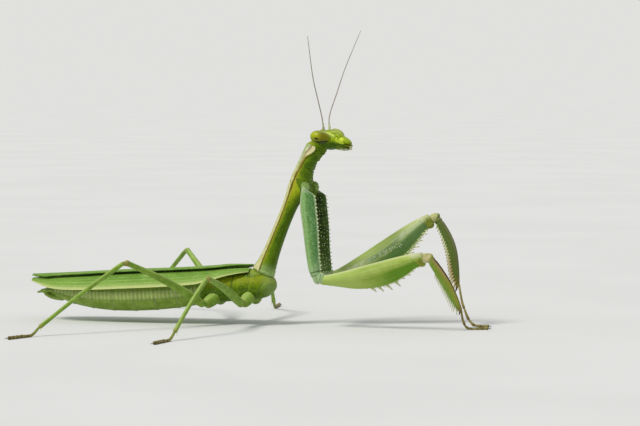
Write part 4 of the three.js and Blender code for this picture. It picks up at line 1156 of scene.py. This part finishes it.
def thorax():
    """Meso- and metathorax in one skin, with the plates' seams and the dome by the wing roots."""
    shape = Shape()
    path = Path([THORAX_REAR, THORAX_WAIST, THORAX_FRONT])
    t, tt, sw, c, sn = section(BODY_COLUMNS, 170, 0, 0.16)
    a = turn(BODY_COLUMNS)[None]
    side = profile([(0, 2.8), (0.25, 2.93), (0.45, 2.68), (0.72, 2.68), (1, 2)])(tt) * sw
    top = profile([(0, 2.2), (0.45, 2.1), (0.72, 2.0), (1, 1.8)])(tt) * sw
    low = profile([(0, 2.3), (0.45, 2.3), (0.72, 2.15), (1, 1.5)])(tt) * sw
    flank = within(sn, 0.6, 0.2, -0.5, -0.9)
    seams = flank * (hump(tt - 0.06 * sn, 0.2, 0.01) + hump(tt - 0.06 * sn, 0.66, 0.01)
                     + hump(tt - 0.1 * sn, 0.84, 0.012))
    seams = limit(hump(tt, 0.44, 0.012) + seams + hump(sn, -0.25 + 0.1 * np.sin(tt * 12), 0.06) * 0.6)
    lumps = 0.08 * np.sin(tt * 33 + 2 * np.cos(2 * a)) * np.sin(2 * a + 3 * tt) * flank
    points = sweep(path, UP, t, side * power(c, 0.92), lifted(top, low, power(sn, 0.95)))
    # crease paints shade into the seams between the plates.
    shape.grid(swollen(points, (lumps - 0.13 * seams) * sw), lay=lay_of(c, sn, tt),
               fold=0.25 * seams + 0.5 * smooth(tt, 0.8, 0.97), crease=0.7 * seams)
    bead(shape, SCUTUM, AHEAD, UP, SCUTUM_RADII, 48, 32, lay=vec(0, 0.3, 0.5), fold=0.25)
    for sign in (-1, 1):
        knobs(shape, (-2.3, sign * 1.6, 7.2), AHEAD, UP, (0.9, 0.45, 0.6), 0.2, 34, 3 + sign, fold=0.5)
    shape.build("thorax", BODY, "body", "mesothorax", "metathorax")


def abdomen(skin):
    """Ringed abdomen: overlapping plates above and below, soft folds along the flanks."""
    shape = Shape()
    t, tt, sw, c, sn = section(BODY_COLUMNS, 420, 0.05, 0)
    side, tall = profile(ABDOMEN_WIDTH)(tt) / 2 * sw, profile(ABDOMEN_HEIGHT)(tt) / 2 * sw
    bent = tt - 0.012 * np.abs(c)
    step = sum(0.12 * smooth(bent, place - 0.035, place - 0.004) * smooth(bent, place + 0.004, place)
               for place in ABDOMEN_JOINTS)
    crease = sum(hump(bent, place + 0.003, 0.005) for place in ABDOMEN_JOINTS)
    pleat = hump(np.abs(c), 1, 0.05) * (0.6 + 0.4 * np.sin(tt * 260))
    edge = hump(np.abs(sn), 0.3, 0.05)
    amount = -0.1 * crease + step * 0.5 - 0.1 * pleat * (1 - limit(crease)) - 0.05 * edge
    points = sweep(Path(ABDOMEN_LINE), UP, t, side * power(c, 0.94), tall * sn)
    shape.grid(swollen(points, amount * sw), fold=limit(pleat + 0.5 * crease),
               joint=limit(0.5 * edge + 0.35 * crease))
    tail(shape)
    shape.build("abdomen", skin, "belly", "abdomen_tip", "abdomen_middle", "abdomen_base")


def tail(shape):
    """Keel-shaped last plate below and the short valves of the egg layer."""
    plate = Path([(-33.2, 0, 3.6), (-35.4, 0, 3.75), (-37.0, 0, 4.4)])
    t, tt, sw, c, sn = section(40, 40, 0.2, 0.2)
    shape.grid(sweep(plate, UP, t, 1.15 * (1 - 0.55 * tt) * sw * c, 0.62 * (1 - 0.4 * tt) * sw * sn),
               fold=0.1)
    for y in (-1, 1):
        valve = Path([(-35.6, y * 0.25, 4.7), (-36.6, y * 0.25, 4.75), (-37.5, y * 0.15, 4.6)])
        thin = (1 - 0.5 * tt) * sw
        shape.grid(sweep(valve, UP, t, 0.24 * thin * c, 0.3 * thin * sn), joint=0.6 * smooth(tt, 0.3, 1))


def cercus(side, name, skin):
    """Short ringed feeler at the tail."""
    root = vec(-34.6, side * 0.9, 4.9)
    tip = root + unit(vec(-0.85, side * 0.5, -0.12)) * CERCUS_LENGTH
    path = Path([root, (root + tip) / 2 + vec(0, side * 0.1, 0), tip])
    t, tt, sw, c, sn = section(24, 110, 0.06, 0.1)
    size = profile([(0, 0.3), (0.4, 0.29), (1, 0.16)])(tt)
    size = size * (1 - 0.14 * np.abs(np.cos(tt * np.pi * 11))) * sw
    Shape().grid(sweep(path, UP, t, size * c, size * sn), joint=0.4 * tt, fold=0.2).build(
        f"cercus_{name}_tail", skin, "belly", f"cercus_{name}")


def wing_surface(side, along, across):
    """Outer surface of a folded wing cover; across runs from the outer edge inward."""
    half = profile(WING_HALF_WIDTH)(along)
    inner = -np.minimum(WING_OVERLAP, half * 0.6) * np.minimum(1, along / 0.12)
    out = half + (inner - half) * across
    drop = WING_DROP * np.abs(out / half) ** 2.4 * np.minimum(1, 0.45 + along * 2.5) * (half / 4.2)
    lift = 0.62 * (1 - smooth(out, 1.8, 3.3)) if side > 0 else 0
    height = profile(WING_RIDGE)(along) - drop + lift
    return lay_of(WING_BASE_X - WING_LENGTH * along, side * out, height)


def wing(side, name, skin):
    """Leathery wing cover with raised veins, thin at its front edge."""
    along = np.linspace(0, 1, WING_ROWS)[:, None]
    across = np.linspace(0, 1, WING_COLUMNS)[None]
    surface = wing_surface(side, along, across)
    normal = facing(surface, UP)
    # Long veins: a strong front one, then a fan that runs out along the inner edge.
    veins = limit(sum(
        strength * hump(across, start + (end - start) * along**1.2, 0.009)
        for start, end, strength in (
            (0.13, 0.1, 1), (0.24, 0.2, 0.9), (0.34, 0.3, 0.7), (0.42, 0.42, 0.8), (0.5, 0.55, 0.6),
            (0.58, 0.7, 0.6), (0.66, 0.86, 0.6), (0.75, 1.05, 0.5), (0.84, 1.3, 0.5))))
    mark = hump(along, 0.43, 0.035) * hump(across, 0.38, 0.02)
    surface = surface + normal * (0.06 * veins + 0.05 * smooth(across, 0.02, 0))[..., None]
    under = surface - normal * (WING_THICKNESS - 0.1 * smooth(across, 0.04, 0))[..., None]
    lay = lay_of(side, across, along)
    Shape().grid(two_sided(surface, under), lay=two_sided(lay, lay), vein=two_sided(veins, veins) * 0.8,
                 mark=two_sided(mark, mark)).build(f"wing_cover_{name}", skin, "wing", f"tegmen_{name}")


thorax()
BELLY, WING = belly_skin(), wing_skin()
abdomen(BELLY)
for name, sign in SIDES:
    cercus(sign, name, BELLY)
for name, sign in SIDES:
    wing(sign, name, WING)


# ---- legs ------------------------------------------------------------------------------------

COXA, THIGH, SHIN, FOOT = coxa_skin(), thigh_skin(), shin_skin(), foot_skin()
CLAW, SPINE, WALKING = claw_skin(), spine_skin(), walking_skin()


def foot(points, name, node, length, radius, greenish=0.0):
    """Five-jointed tarsus, pad under each joint, and a pair of curved claws."""
    path, shape, claws = Path(points), Shape(), Shape()
    for i, (start, end) in enumerate(zip(TARSUS_STOPS[:-1], TARSUS_STOPS[1:])):
        count, start_round, thick = (14, 0.15, 0.94) if i else (30, 0.06, 0.82)
        t, tt, sw, c, sn = section(28, count, start_round, 0.12, start, end + 0.012)
        local = (tt - start) / (end - start)
        size = radius * (thick + 0.2 * local**2) * sw
        over = size * sn - 0.25 * size * smooth(local, 0.55, 0.9) * (sn < 0) * np.abs(sn)
        joint = sweep(path, UP, t, size * c, over)
        joint[..., 2] = np.maximum(joint[..., 2], 0)
        shape.grid(joint, joint=0.75 * smooth(local, 0.86, 1), green=greenish * (1 - local) * (i == 0))
    shape.build(name, FOOT, "foot", node)
    centre, ahead, left, above = path.frame(0.965, UP)
    for side in (-1, 1):
        thorn(claws, centre, ahead + left * side * 0.5 + UP * 0.12, length, radius * 0.45,
              bend=-UP * 0.28, blunt=0.7)
    # Short stiff hairs along the sides.
    for i, t in enumerate(np.linspace(0.05, 0.93, 26)):
        centre, ahead, left, above = path.frame(t, UP)
        left = left * (-1 if i % 2 else 1)
        thorn(claws, centre + left * radius * 0.7, ahead * 0.9 + left * 0.6 - above * 0.35, 0.34, 0.022,
              sides=5)
    for p in claws.points:
        p[:, 2] = np.maximum(p[:, 2], 0)
    claws.build(name + "_claws", CLAW, "foot")


def beads_on_coxa(teeth, path, side, rng):
    """Teeth down the front edge and granules over the inner face."""
    front_at, rear_at, half_at = map(profile, (COXA_FRONT, COXA_REAR, COXA_HALF_WIDTH))
    for i, place in enumerate(np.linspace(0.12, 0.94, 21)):
        centre, ahead, left, above = path.frame(place, AHEAD)
        thorn(teeth, centre + above * (front_at(place) - 0.14) + left * side * 0.12,
              above + ahead * 0.2 + left * side * 0.25, 0.32 if i % 3 else 0.4, 0.13, blunt=0.45)
    for row in np.linspace(0.85, -0.7, 5):
        for place in np.linspace(0.12, 0.93, 22):
            spot = place + rng.uniform(-0.012, 0.012)
            lie = row + rng.uniform(-0.08, 0.08)
            centre, ahead, left, above = path.frame(spot, AHEAD)
            wide = half_at(spot) * (1 - lie**2) ** (0.46 * (1 + 0.5 * max(0, lie))) * 0.84
            root = centre + above * lifted(front_at(spot), rear_at(spot), lie)
            thorn(teeth, root - left * side * (wide - 0.06), -left * side + above * 0.2,
                  0.1 + rng.uniform(0, 0.05), rng.uniform(0.055, 0.1), blunt=0.5)


def spines_on_femur(teeth, path, up, side, rng):
    """Two rows of spines below with small teeth between, and a brush on the inner face."""
    top_at, low_at, half_at = map(profile, (FEMUR_TOP, FEMUR_BOTTOM, FEMUR_HALF_WIDTH))

    def spine(place, across, length, radius, dark=0.0, splay=0.35, slant=0.45):
        centre, ahead, left, above = path.frame(place, up)
        thorn(teeth, centre - above * (low_at(place) - 0.22) + left * across,
              -above + ahead * slant + left * np.sign(across) * splay, length + 0.22, radius,
              bend=ahead * 0.12, dark=dark)

    for place, size in ((0.43, 0.8), (0.49, 0.9), (0.565, 1.0), (0.645, 0.95)):
        spine(place, side * 0.36, size, 0.27, dark=0.6, slant=0.55)
    for i, place in enumerate(np.linspace(0.4, 0.87, 17)):
        size = (0.75 if i % 2 else 0.42) * (1.15 if 4 < i < 13 else 0.8)
        spine(place, -side * 0.36, size, 0.25 if i % 2 else 0.17, dark=0.5, splay=0.3, slant=1.3)
    for i, place in enumerate(np.linspace(0.24, 0.8, 34)):
        spine(place, -side * (0.5 + 0.12 * (i % 2)), 0.1, 0.08, splay=0.9, slant=0.1)
    for place in np.linspace(0.44, 0.88, 20):
        spine(place, side * 0.42, 0.12, 0.08, splay=0.5, slant=0.2)
    for place, size in ((0.36, 0.55), (0.41, 0.8), (0.46, 1.0), (0.51, 0.6)):
        spine(place, side * 0.02, size, 0.13, dark=1, splay=0, slant=0.6)

    # The pale bristles follow the upper edge of the dark field.
    for place in rng.uniform(0.36, 0.66, 44):
        centre, ahead, left, above = path.frame(place, up)
        lie = 0.36 - 1.15 * (place - 0.36) + rng.uniform(-0.2, 0.1)
        root = centre + above * lifted(top_at(place), low_at(place), lie)
        thorn(teeth, root - left * side * (half_at(place) * np.sqrt(1 - lie**2) - 0.06),
              -left * side * 0.5 - above + ahead * rng.uniform(-0.2, 0.7), rng.uniform(0.25, 0.5), 0.07,
              blunt=0.5, cool=1)


def spines_on_tibia(teeth, path, up, side):
    """Two close rows of spines, longer toward the hook, the inner ones brown there."""
    under_at = profile(TIBIA_BOTTOM)
    for row, count, start, dark, warm in ((side, 16, 0.28, 0.3, 0), (-side, 20, 0.1, 1, 1)):
        for i in range(count):
            place = start + (0.945 - start) * i / (count - 1)
            centre, ahead, left, above = path.frame(place, up)
            thorn(teeth, centre - above * (under_at(place) - 0.24) + left * row * 0.32,
                  -above + ahead * (1.05 + 1.2 * smooth(place, 0.9, 0.96)) + left * row * 0.3,
                  0.62 + 0.6 * place, 0.15, bend=ahead * 0.12, blunt=0.5, dark=dark,
                  warm=warm * smooth(place, 0.35, 0.8))


def fore_coxa(name, side, path):
    """Coxa: three-sided, flat toward the other leg."""
    t, tt, sw, c, sn = section(LEG_COLUMNS, 240, 0.03, 0.05)
    out = c * side
    front, rear, half = (profile(size)(tt) * sw for size in (COXA_FRONT, COXA_REAR, COXA_HALF_WIDTH))
    keen = 1 + 0.5 * smooth(sn, 0.1, 1) + 0.3 * smooth(-sn, 0.3, 1)
    across = half * power(c, keen * 0.92) * (1 - 0.18 * (out < 0) * np.abs(c))
    points = sweep(path, AHEAD, t, across, lifted(front, rear, sn))
    swelling = hump(sn, -0.35, 0.4) * smooth(tt, 0.08, 0.2) * smooth(out, 0.2, 0.7)
    rim = hump(sn, 0.93, 0.05) * within(tt, 0.06, 0.14, 0.92, 0.98)
    knuckle = hump(tt + 0.008 * sn, 0.925, 0.009) + hump(tt - 0.006 * sn, 0.962, 0.007)
    wrinkle = smooth(tt, 0.12, 0.03) * (0.5 + 0.5 * np.sin(tt * 330 + 3 * sn))
    amount = 0.05 * swelling + 0.03 * rim - 0.08 * knuckle - 0.06 * wrinkle
    # crease paints shade into the knuckle furrows and the wrinkles at the base.
    Shape().grid(swollen(points, amount * sw), lay=lay_of(out, sn, tt),
                 crease=limit(knuckle * 0.8 + wrinkle * 0.3),
                 fold=limit(smooth(tt, 0.1, 0.02) * 0.8 + smooth(tt, 0.92, 0.99) * 0.6)).build(
        f"fore_coxa_{name}_shell", COXA, "coxa", f"fore_coxa_{name}")


def fore_trochanter(name, side, place, way):
    """Trochanter: the small swollen joint under the coxa, ringed by two furrows."""
    path = Path([place - way * 0.65 + UP * 0.15, place + way * 0.3 + UP * 0.1,
                 place + way * 1.35 - UP * 0.05])
    t, tt, sw, c, sn = section(LEG_COLUMNS, 60, 0.25, 0.2)
    furrow = hump(tt + 0.04 * sn, 0.42, 0.025) + hump(tt - 0.05 * sn, 0.72, 0.022)
    size = profile([(0, 0.75), (0.35, 0.9), (0.6, 0.84), (1, 0.72)])(tt) * sw - 0.07 * furrow
    # crease paints shade into the two furrows.
    Shape().grid(sweep(path, UP, t, size * 0.84 * c, size * sn), lay=lay_of(c * side, sn, tt),
                 crease=0.75 * furrow, fold=0.45 + 0.3 * smooth(-sn, 0, 0.8)).build(
        f"fore_trochanter_{name}", COXA, "coxa")


def fore_femur(name, side, path, up):
    """Femur: deep blade with a cream upper keel, grooved below between two spine rows."""
    t, tt, sw, c, sn = section(LEG_COLUMNS, 320, 0.04, 0.022, 0, 0.965)
    top, low, half = (profile(size)(tt) * sw for size in (FEMUR_TOP, FEMUR_BOTTOM, FEMUR_HALF_WIDTH))
    keen = 1 + 0.3 * smooth(sn, 0.5, 1) - 0.3 * smooth(-sn, 0.5, 1)
    points = sweep(path, up, t, half * power(c, keen), lifted(top, low, power(sn, 0.97)))
    gutter = smooth(-sn, 0.93, 1) * within(tt, 0.25, 0.4, 0.85, 0.95)
    spread = within(tt, 0, 0.45, 0.6, 1.02)
    lines = (hump(sn, 0.6 * spread + 0.12, 0.03) + 0.7 * hump(sn, 0.32 * spread + 0.04, 0.025)
             + 0.5 * hump(sn, 0.02 - 0.1 * spread, 0.02) + 0.5 * hump(sn, -0.3 * spread - 0.1, 0.025))
    lines = lines * within(tt, 0.03, 0.2, 0.86, 0.93)
    collar = hump(tt, 0.885 - 0.025 * sn, 0.006) * smooth(sn, 0.75, 0.5)
    cleft = hump(tt, 0.93 + 0.015 * sn, 0.005) * smooth(np.abs(sn), 0.6, 0.35)
    amount = 0.035 * lines - 0.22 * gutter - 0.05 * collar - 0.06 * cleft
    # groove paints shade into the knee collar, the cleft at the knee and the gutter below.
    shape = Shape().grid(swollen(points, amount * sw), lay=lay_of(c * side, sn, tt),
                         line=limit(lines) * 0.55,
                         groove=limit(0.3 * collar + 0.5 * cleft + 0.4 * gutter))
    # Knee lobes that clasp the tibia from both sides.
    centre, ahead, left, above = path.frame(0.928, up)
    for flank in (-1, 1):
        bead(shape, centre + left * flank * 0.43 - above * 0.5, ahead - above * 0.3, up,
             (0.66, 0.27, 0.6), 40, 26, lay=vec(flank * side, -0.2, 0.97))
    shape.build(f"fore_thigh_{name}", THIGH, "fore_leg", f"fore_femur_{name}")


def fore_tibia(name, side, path, up, knob, knob_up):
    """Tibia: bowed, with a knob at the knee."""
    t, tt, sw, c, sn = section(LEG_COLUMNS, 220, 0.05, 0.04)
    top, low, half = (profile(size)(tt) * sw for size in (TIBIA_TOP, TIBIA_BOTTOM, TIBIA_HALF_WIDTH))
    across = half * power(c, 1 + 0.25 * smooth(sn, 0.5, 1))
    points = sweep(path, up, t, across, lifted(top, low, sn))
    rib = hump(sn, 0.35, 0.08) * within(tt, 0.1, 0.25, 0.8, 0.95)
    gutter = smooth(-sn, 0.9, 1) * within(tt, 0.12, 0.25, 0.85, 0.95)
    amount = 0.04 * rib - 0.12 * gutter - 0.07 * hump(tt, 0.085, 0.015)
    shape = Shape().grid(swollen(points, amount * sw), lay=lay_of(c * side, sn, tt),
                         knob=0.4 * smooth(tt, 0.07, 0.02))
    t, tt, sw, c, sn = section(LEG_COLUMNS, 50, 0.25, 0.3)
    grip = (1 + 0.03 * np.sin(tt * 9 + 3 * c) * np.sin(4 * tt + 5 * sn)) * sw
    shape.grid(sweep(knob, knob_up, t, 0.68 * grip * c, 0.74 * grip * sn),
               lay=lay_of(0.6 * c * side, sn * 0.5, 0.1), knob=0.95 * smooth(tt, 0.95, 0.6))
    shape.build(f"fore_shin_{name}", SHIN, "fore_leg", f"fore_tibia_{name}")


def fore_hook(name, path, up):
    """Hook that ends a fore tibia."""
    shape = Shape()
    centre, ahead, _, above = path.frame(1, up)
    thorn(shape, centre - ahead * 0.25, ahead - above * 0.12, 1.35, 0.3, bend=-above * 0.4, sides=20,
          blunt=0.75)
    shape.build(f"fore_hook_{name}", CLAW, "fore_leg")


def fore_leg(name, side):
    """A grasping leg, with its teeth and spines in one piece."""
    leg = FORE[name]
    hip, trochanter, knee, ankle = (np.array(leg[key]) for key in ("hip", "trochanter", "knee", "ankle"))
    shin_way, thigh_way = unit(ankle - knee), unit(knee - trochanter)
    coxa, femur = link(hip, trochanter), link(trochanter, knee)
    tibia = Path([knee, knee + (ankle - knee) * 0.45 + thigh_way * leg["bow"], ankle])
    back = KNEE_KNOB[name]
    knob = Path([knee - thigh_way * (back + 0.7), knee - thigh_way * back * 0.5,
                 knee + thigh_way * 0.5 + shin_way * 0.45])
    fore_coxa(name, side, coxa)
    fore_femur(name, side, femur, -shin_way)
    fore_trochanter(name, side, trochanter, thigh_way)
    fore_tibia(name, side, tibia, thigh_way, knob, -shin_way)
    teeth, rng = Shape(), np.random.default_rng(21)
    beads_on_coxa(teeth, coxa, side, rng)
    spines_on_femur(teeth, femur, -shin_way, side, rng)
    spines_on_tibia(teeth, tibia, thigh_way, side)
    teeth.build(f"fore_spines_{name}", SPINE, "fore_leg")
    fore_hook(name, tibia, thigh_way)
    foot(leg["foot"], f"fore_foot_{name}", f"fore_tarsus_{name}", 0.62, 0.19)


def walking_limb(path, sizes, count, ends, joint, ridge=0.0):
    """One round segment of a walking leg, with five low ridges and darker joints."""
    t, tt, sw, c, sn = section(WALKING_COLUMNS, count, ends, ends)
    bumps = ridge * np.cos(turn(WALKING_COLUMNS) * 5) * within(tt, 0.05, 0.2, 0.85, 0.95)
    radius = profile(sizes)(tt) * sw * (1 + bumps)
    points = sweep(path, UP, t, radius * c, radius * sn)
    return Shape().grid(points, lay=lay_of(c, sn, tt), joint=joint(tt))


def hairs_on_shin(name, path):
    """Short hairs all round a walking leg's shin and the pair of spurs at its end."""
    shape = Shape()
    rng = np.random.default_rng(11)
    for place in np.linspace(0.1, 0.95, 46):
        centre, ahead, left, above = path.frame(place, UP)
        angle = rng.uniform(0, 2 * np.pi)
        way = left * np.cos(angle) + above * np.sin(angle)
        thorn(shape, centre + way * 0.26, way + ahead * 1.3, 0.36, 0.024, sides=5)
    centre, ahead, left, above = path.frame(0.975, UP)
    for flank in (-1, 1):
        thorn(shape, centre + left * flank * 0.2 - above * 0.15,
              ahead + left * flank * 0.45 - above * 0.3, 0.75, 0.09, dark=1)
    shape.build(name, SPINE, "walking_leg")


def walking_leg(pair, name, side, leg):
    """A slim leg: hip, thigh with knee lobes, shin with hairs and spurs, foot."""
    hip, trochanter, knee, ankle, toe = (np.array(leg[key]) * vec(1, side, 1)
                                         for key in ("hip", "trochanter", "knee", "ankle", "toe"))
    walking_limb(link(hip, trochanter), [(0, 1.05), (0.6, 0.95), (1, 0.7)], 40, 0.2,
                 lambda t: 0.5 * hump(t, 0.88, 0.03)).build(
        f"{pair}_hip_{name}", WALKING, "walking_leg", f"{pair}_coxa_{name}")

    path = link(trochanter, knee, 0.45)
    sizes = [(0, 0.55), (0.06, 0.62), (0.2, 0.66), (0.7, 0.47), (0.93, 0.42), (1, 0.5)]
    thigh = walking_limb(path, sizes, 150, 0.03, lambda t: 0.8 * smooth(t, 0.955, 0.99)
                         + 0.4 * hump(t, 0.075, 0.008), ridge=0.07)
    centre, ahead, left, above = path.frame(0.975, UP)
    for flank in (-1, 1):
        bead(thigh, centre + left * flank * 0.28 - above * 0.12, ahead - above * 0.5, UP,
             (0.5, 0.17, 0.38), 24, 16, lay=vec(0, 0, 1), joint=0.7)
    thigh.build(f"{pair}_thigh_{name}", WALKING, "walking_leg", f"{pair}_femur_{name}")

    path = link(knee, ankle, 0.25)
    walking_limb(path, [(0, 0.3), (0.04, 0.33), (0.1, 0.36), (0.8, 0.29), (1, 0.35)], 150, 0.03,
                 lambda t: 0.8 * smooth(t, 0.05, 0.01) + 0.6 * smooth(t, 0.93, 0.99), ridge=0.05).build(
        f"{pair}_shin_{name}", WALKING, "walking_leg", f"{pair}_tibia_{name}")

    hairs_on_shin(f"{pair}_spurs_{name}", path)
    landing = ankle + (toe - ankle) * 0.22
    instep = ankle + (toe - ankle) * 0.6
    landing[2], instep[2] = 0.3, 0.27
    foot([ankle, landing, instep, toe], f"{pair}_foot_{name}", f"{pair}_tarsus_{name}", 0.8, 0.24,
         greenish=0.8)


for name, sign in SIDES:
    fore_leg(name, sign)
# The walking legs' dimensions are the right side's, so these mirror the other way.
for name, sign in SIDES:
    walking_leg("mid", name, -sign, MID_LEG)
    walking_leg("hind", name, -sign, HIND_LEG)


# ---- floor, light and camera -----------------------------------------------------------------

def studio():
    """Wide pale floor under a plain backdrop."""
    s = Skin("floor_paint", specular=0.0)
    s.ground(s.noise(0.02, 2).ease(0.35, 0.65), (0.77, 0.77, 0.755, 1), (0.79, 0.79, 0.775, 1))
    mesh = bpy.data.meshes.new("studio_floor")
    corners = [(x * FLOOR_HALF, y * FLOOR_HALF, 0) for x, y in ((-1, -1), (1, -1), (1, 1), (-1, 1))]
    mesh.from_pydata(corners, [], [(0, 1, 2, 3)])
    mesh.materials.append(s.finish(0.05, 2, 0.75, 0.85))
    floor = bpy.data.objects.new("studio_floor", mesh)
    bpy.context.scene.collection.objects.link(floor)


def either(tree, a, b):
    """1 where ray flag a or b is set."""
    node = tree.nodes.new("ShaderNodeMath")
    node.operation, node.use_clamp = "ADD", True
    tree.links.new(a, node.inputs[0])
    tree.links.new(b, node.inputs[1])
    return node.outputs[0]


def light():
    """A soft world that the camera, mirrors and glass see as the backdrop, and one broad key light."""
    world = bpy.data.worlds.new("studio_light")
    bpy.context.scene.world = world
    world.use_nodes = True
    tree = world.node_tree
    ambient, seen = tree.nodes["Background"], tree.nodes.new("ShaderNodeBackground")
    for node, tint, strength in ((ambient, AMBIENT, AMBIENT_STRENGTH), (seen, BACKDROP, 1.0)):
        node.inputs["Color"].default_value = tint
        node.inputs["Strength"].default_value = strength
    ray = tree.nodes.new("ShaderNodeLightPath").outputs
    direct = either(tree, ray["Is Camera Ray"], ray["Is Transmission Ray"])
    choose = tree.nodes.new("ShaderNodeMixShader")
    tree.links.new(either(tree, direct, ray["Is Glossy Ray"]), choose.inputs[0])
    tree.links.new(ambient.outputs[0], choose.inputs[1])
    tree.links.new(seen.outputs[0], choose.inputs[2])
    tree.links.new(choose.outputs[0], tree.nodes["World Output"].inputs[0])

    key = bpy.data.lights.new("key", "SUN")
    key.angle, key.energy, key.color = np.radians(KEY_SPREAD), KEY_STRENGTH, KEY_TINT
    hang(key, KEY_PLACE, -mathutils.Vector(KEY_PLACE))


def hang(data, place, direction):
    """A lamp or camera at place that looks along direction."""
    holder = bpy.data.objects.new(data.name, data)
    holder.location = place
    holder.rotation_euler = direction.to_track_quat("-Z", "Y").to_euler()
    bpy.context.scene.collection.objects.link(holder)
    return holder


def camera():
    """A long lens at the photograph's angle. Its field is set by millimetres to a pixel."""
    lens = bpy.data.cameras.new("camera")
    lens.sensor_width = SENSOR_WIDTH
    lens.lens = SENSOR_WIDTH * VIEW_DISTANCE / VIEW_SPREAD / PICTURE_WIDTH
    lens.clip_start, lens.clip_end = 0.01, 200.0
    back = rotation(2, VIEW_AZIMUTH) @ rotation(0, -VIEW_ELEVATION) @ vec(0, -1, 0)
    place = (np.array(VIEW_TARGET) + back * VIEW_DISTANCE) * MM + HOME
    bpy.context.scene.camera = hang(lens, place, mathutils.Vector(-back))


studio()
light()
camera()
bpy.context.scene.view_settings.view_transform = "Standard"
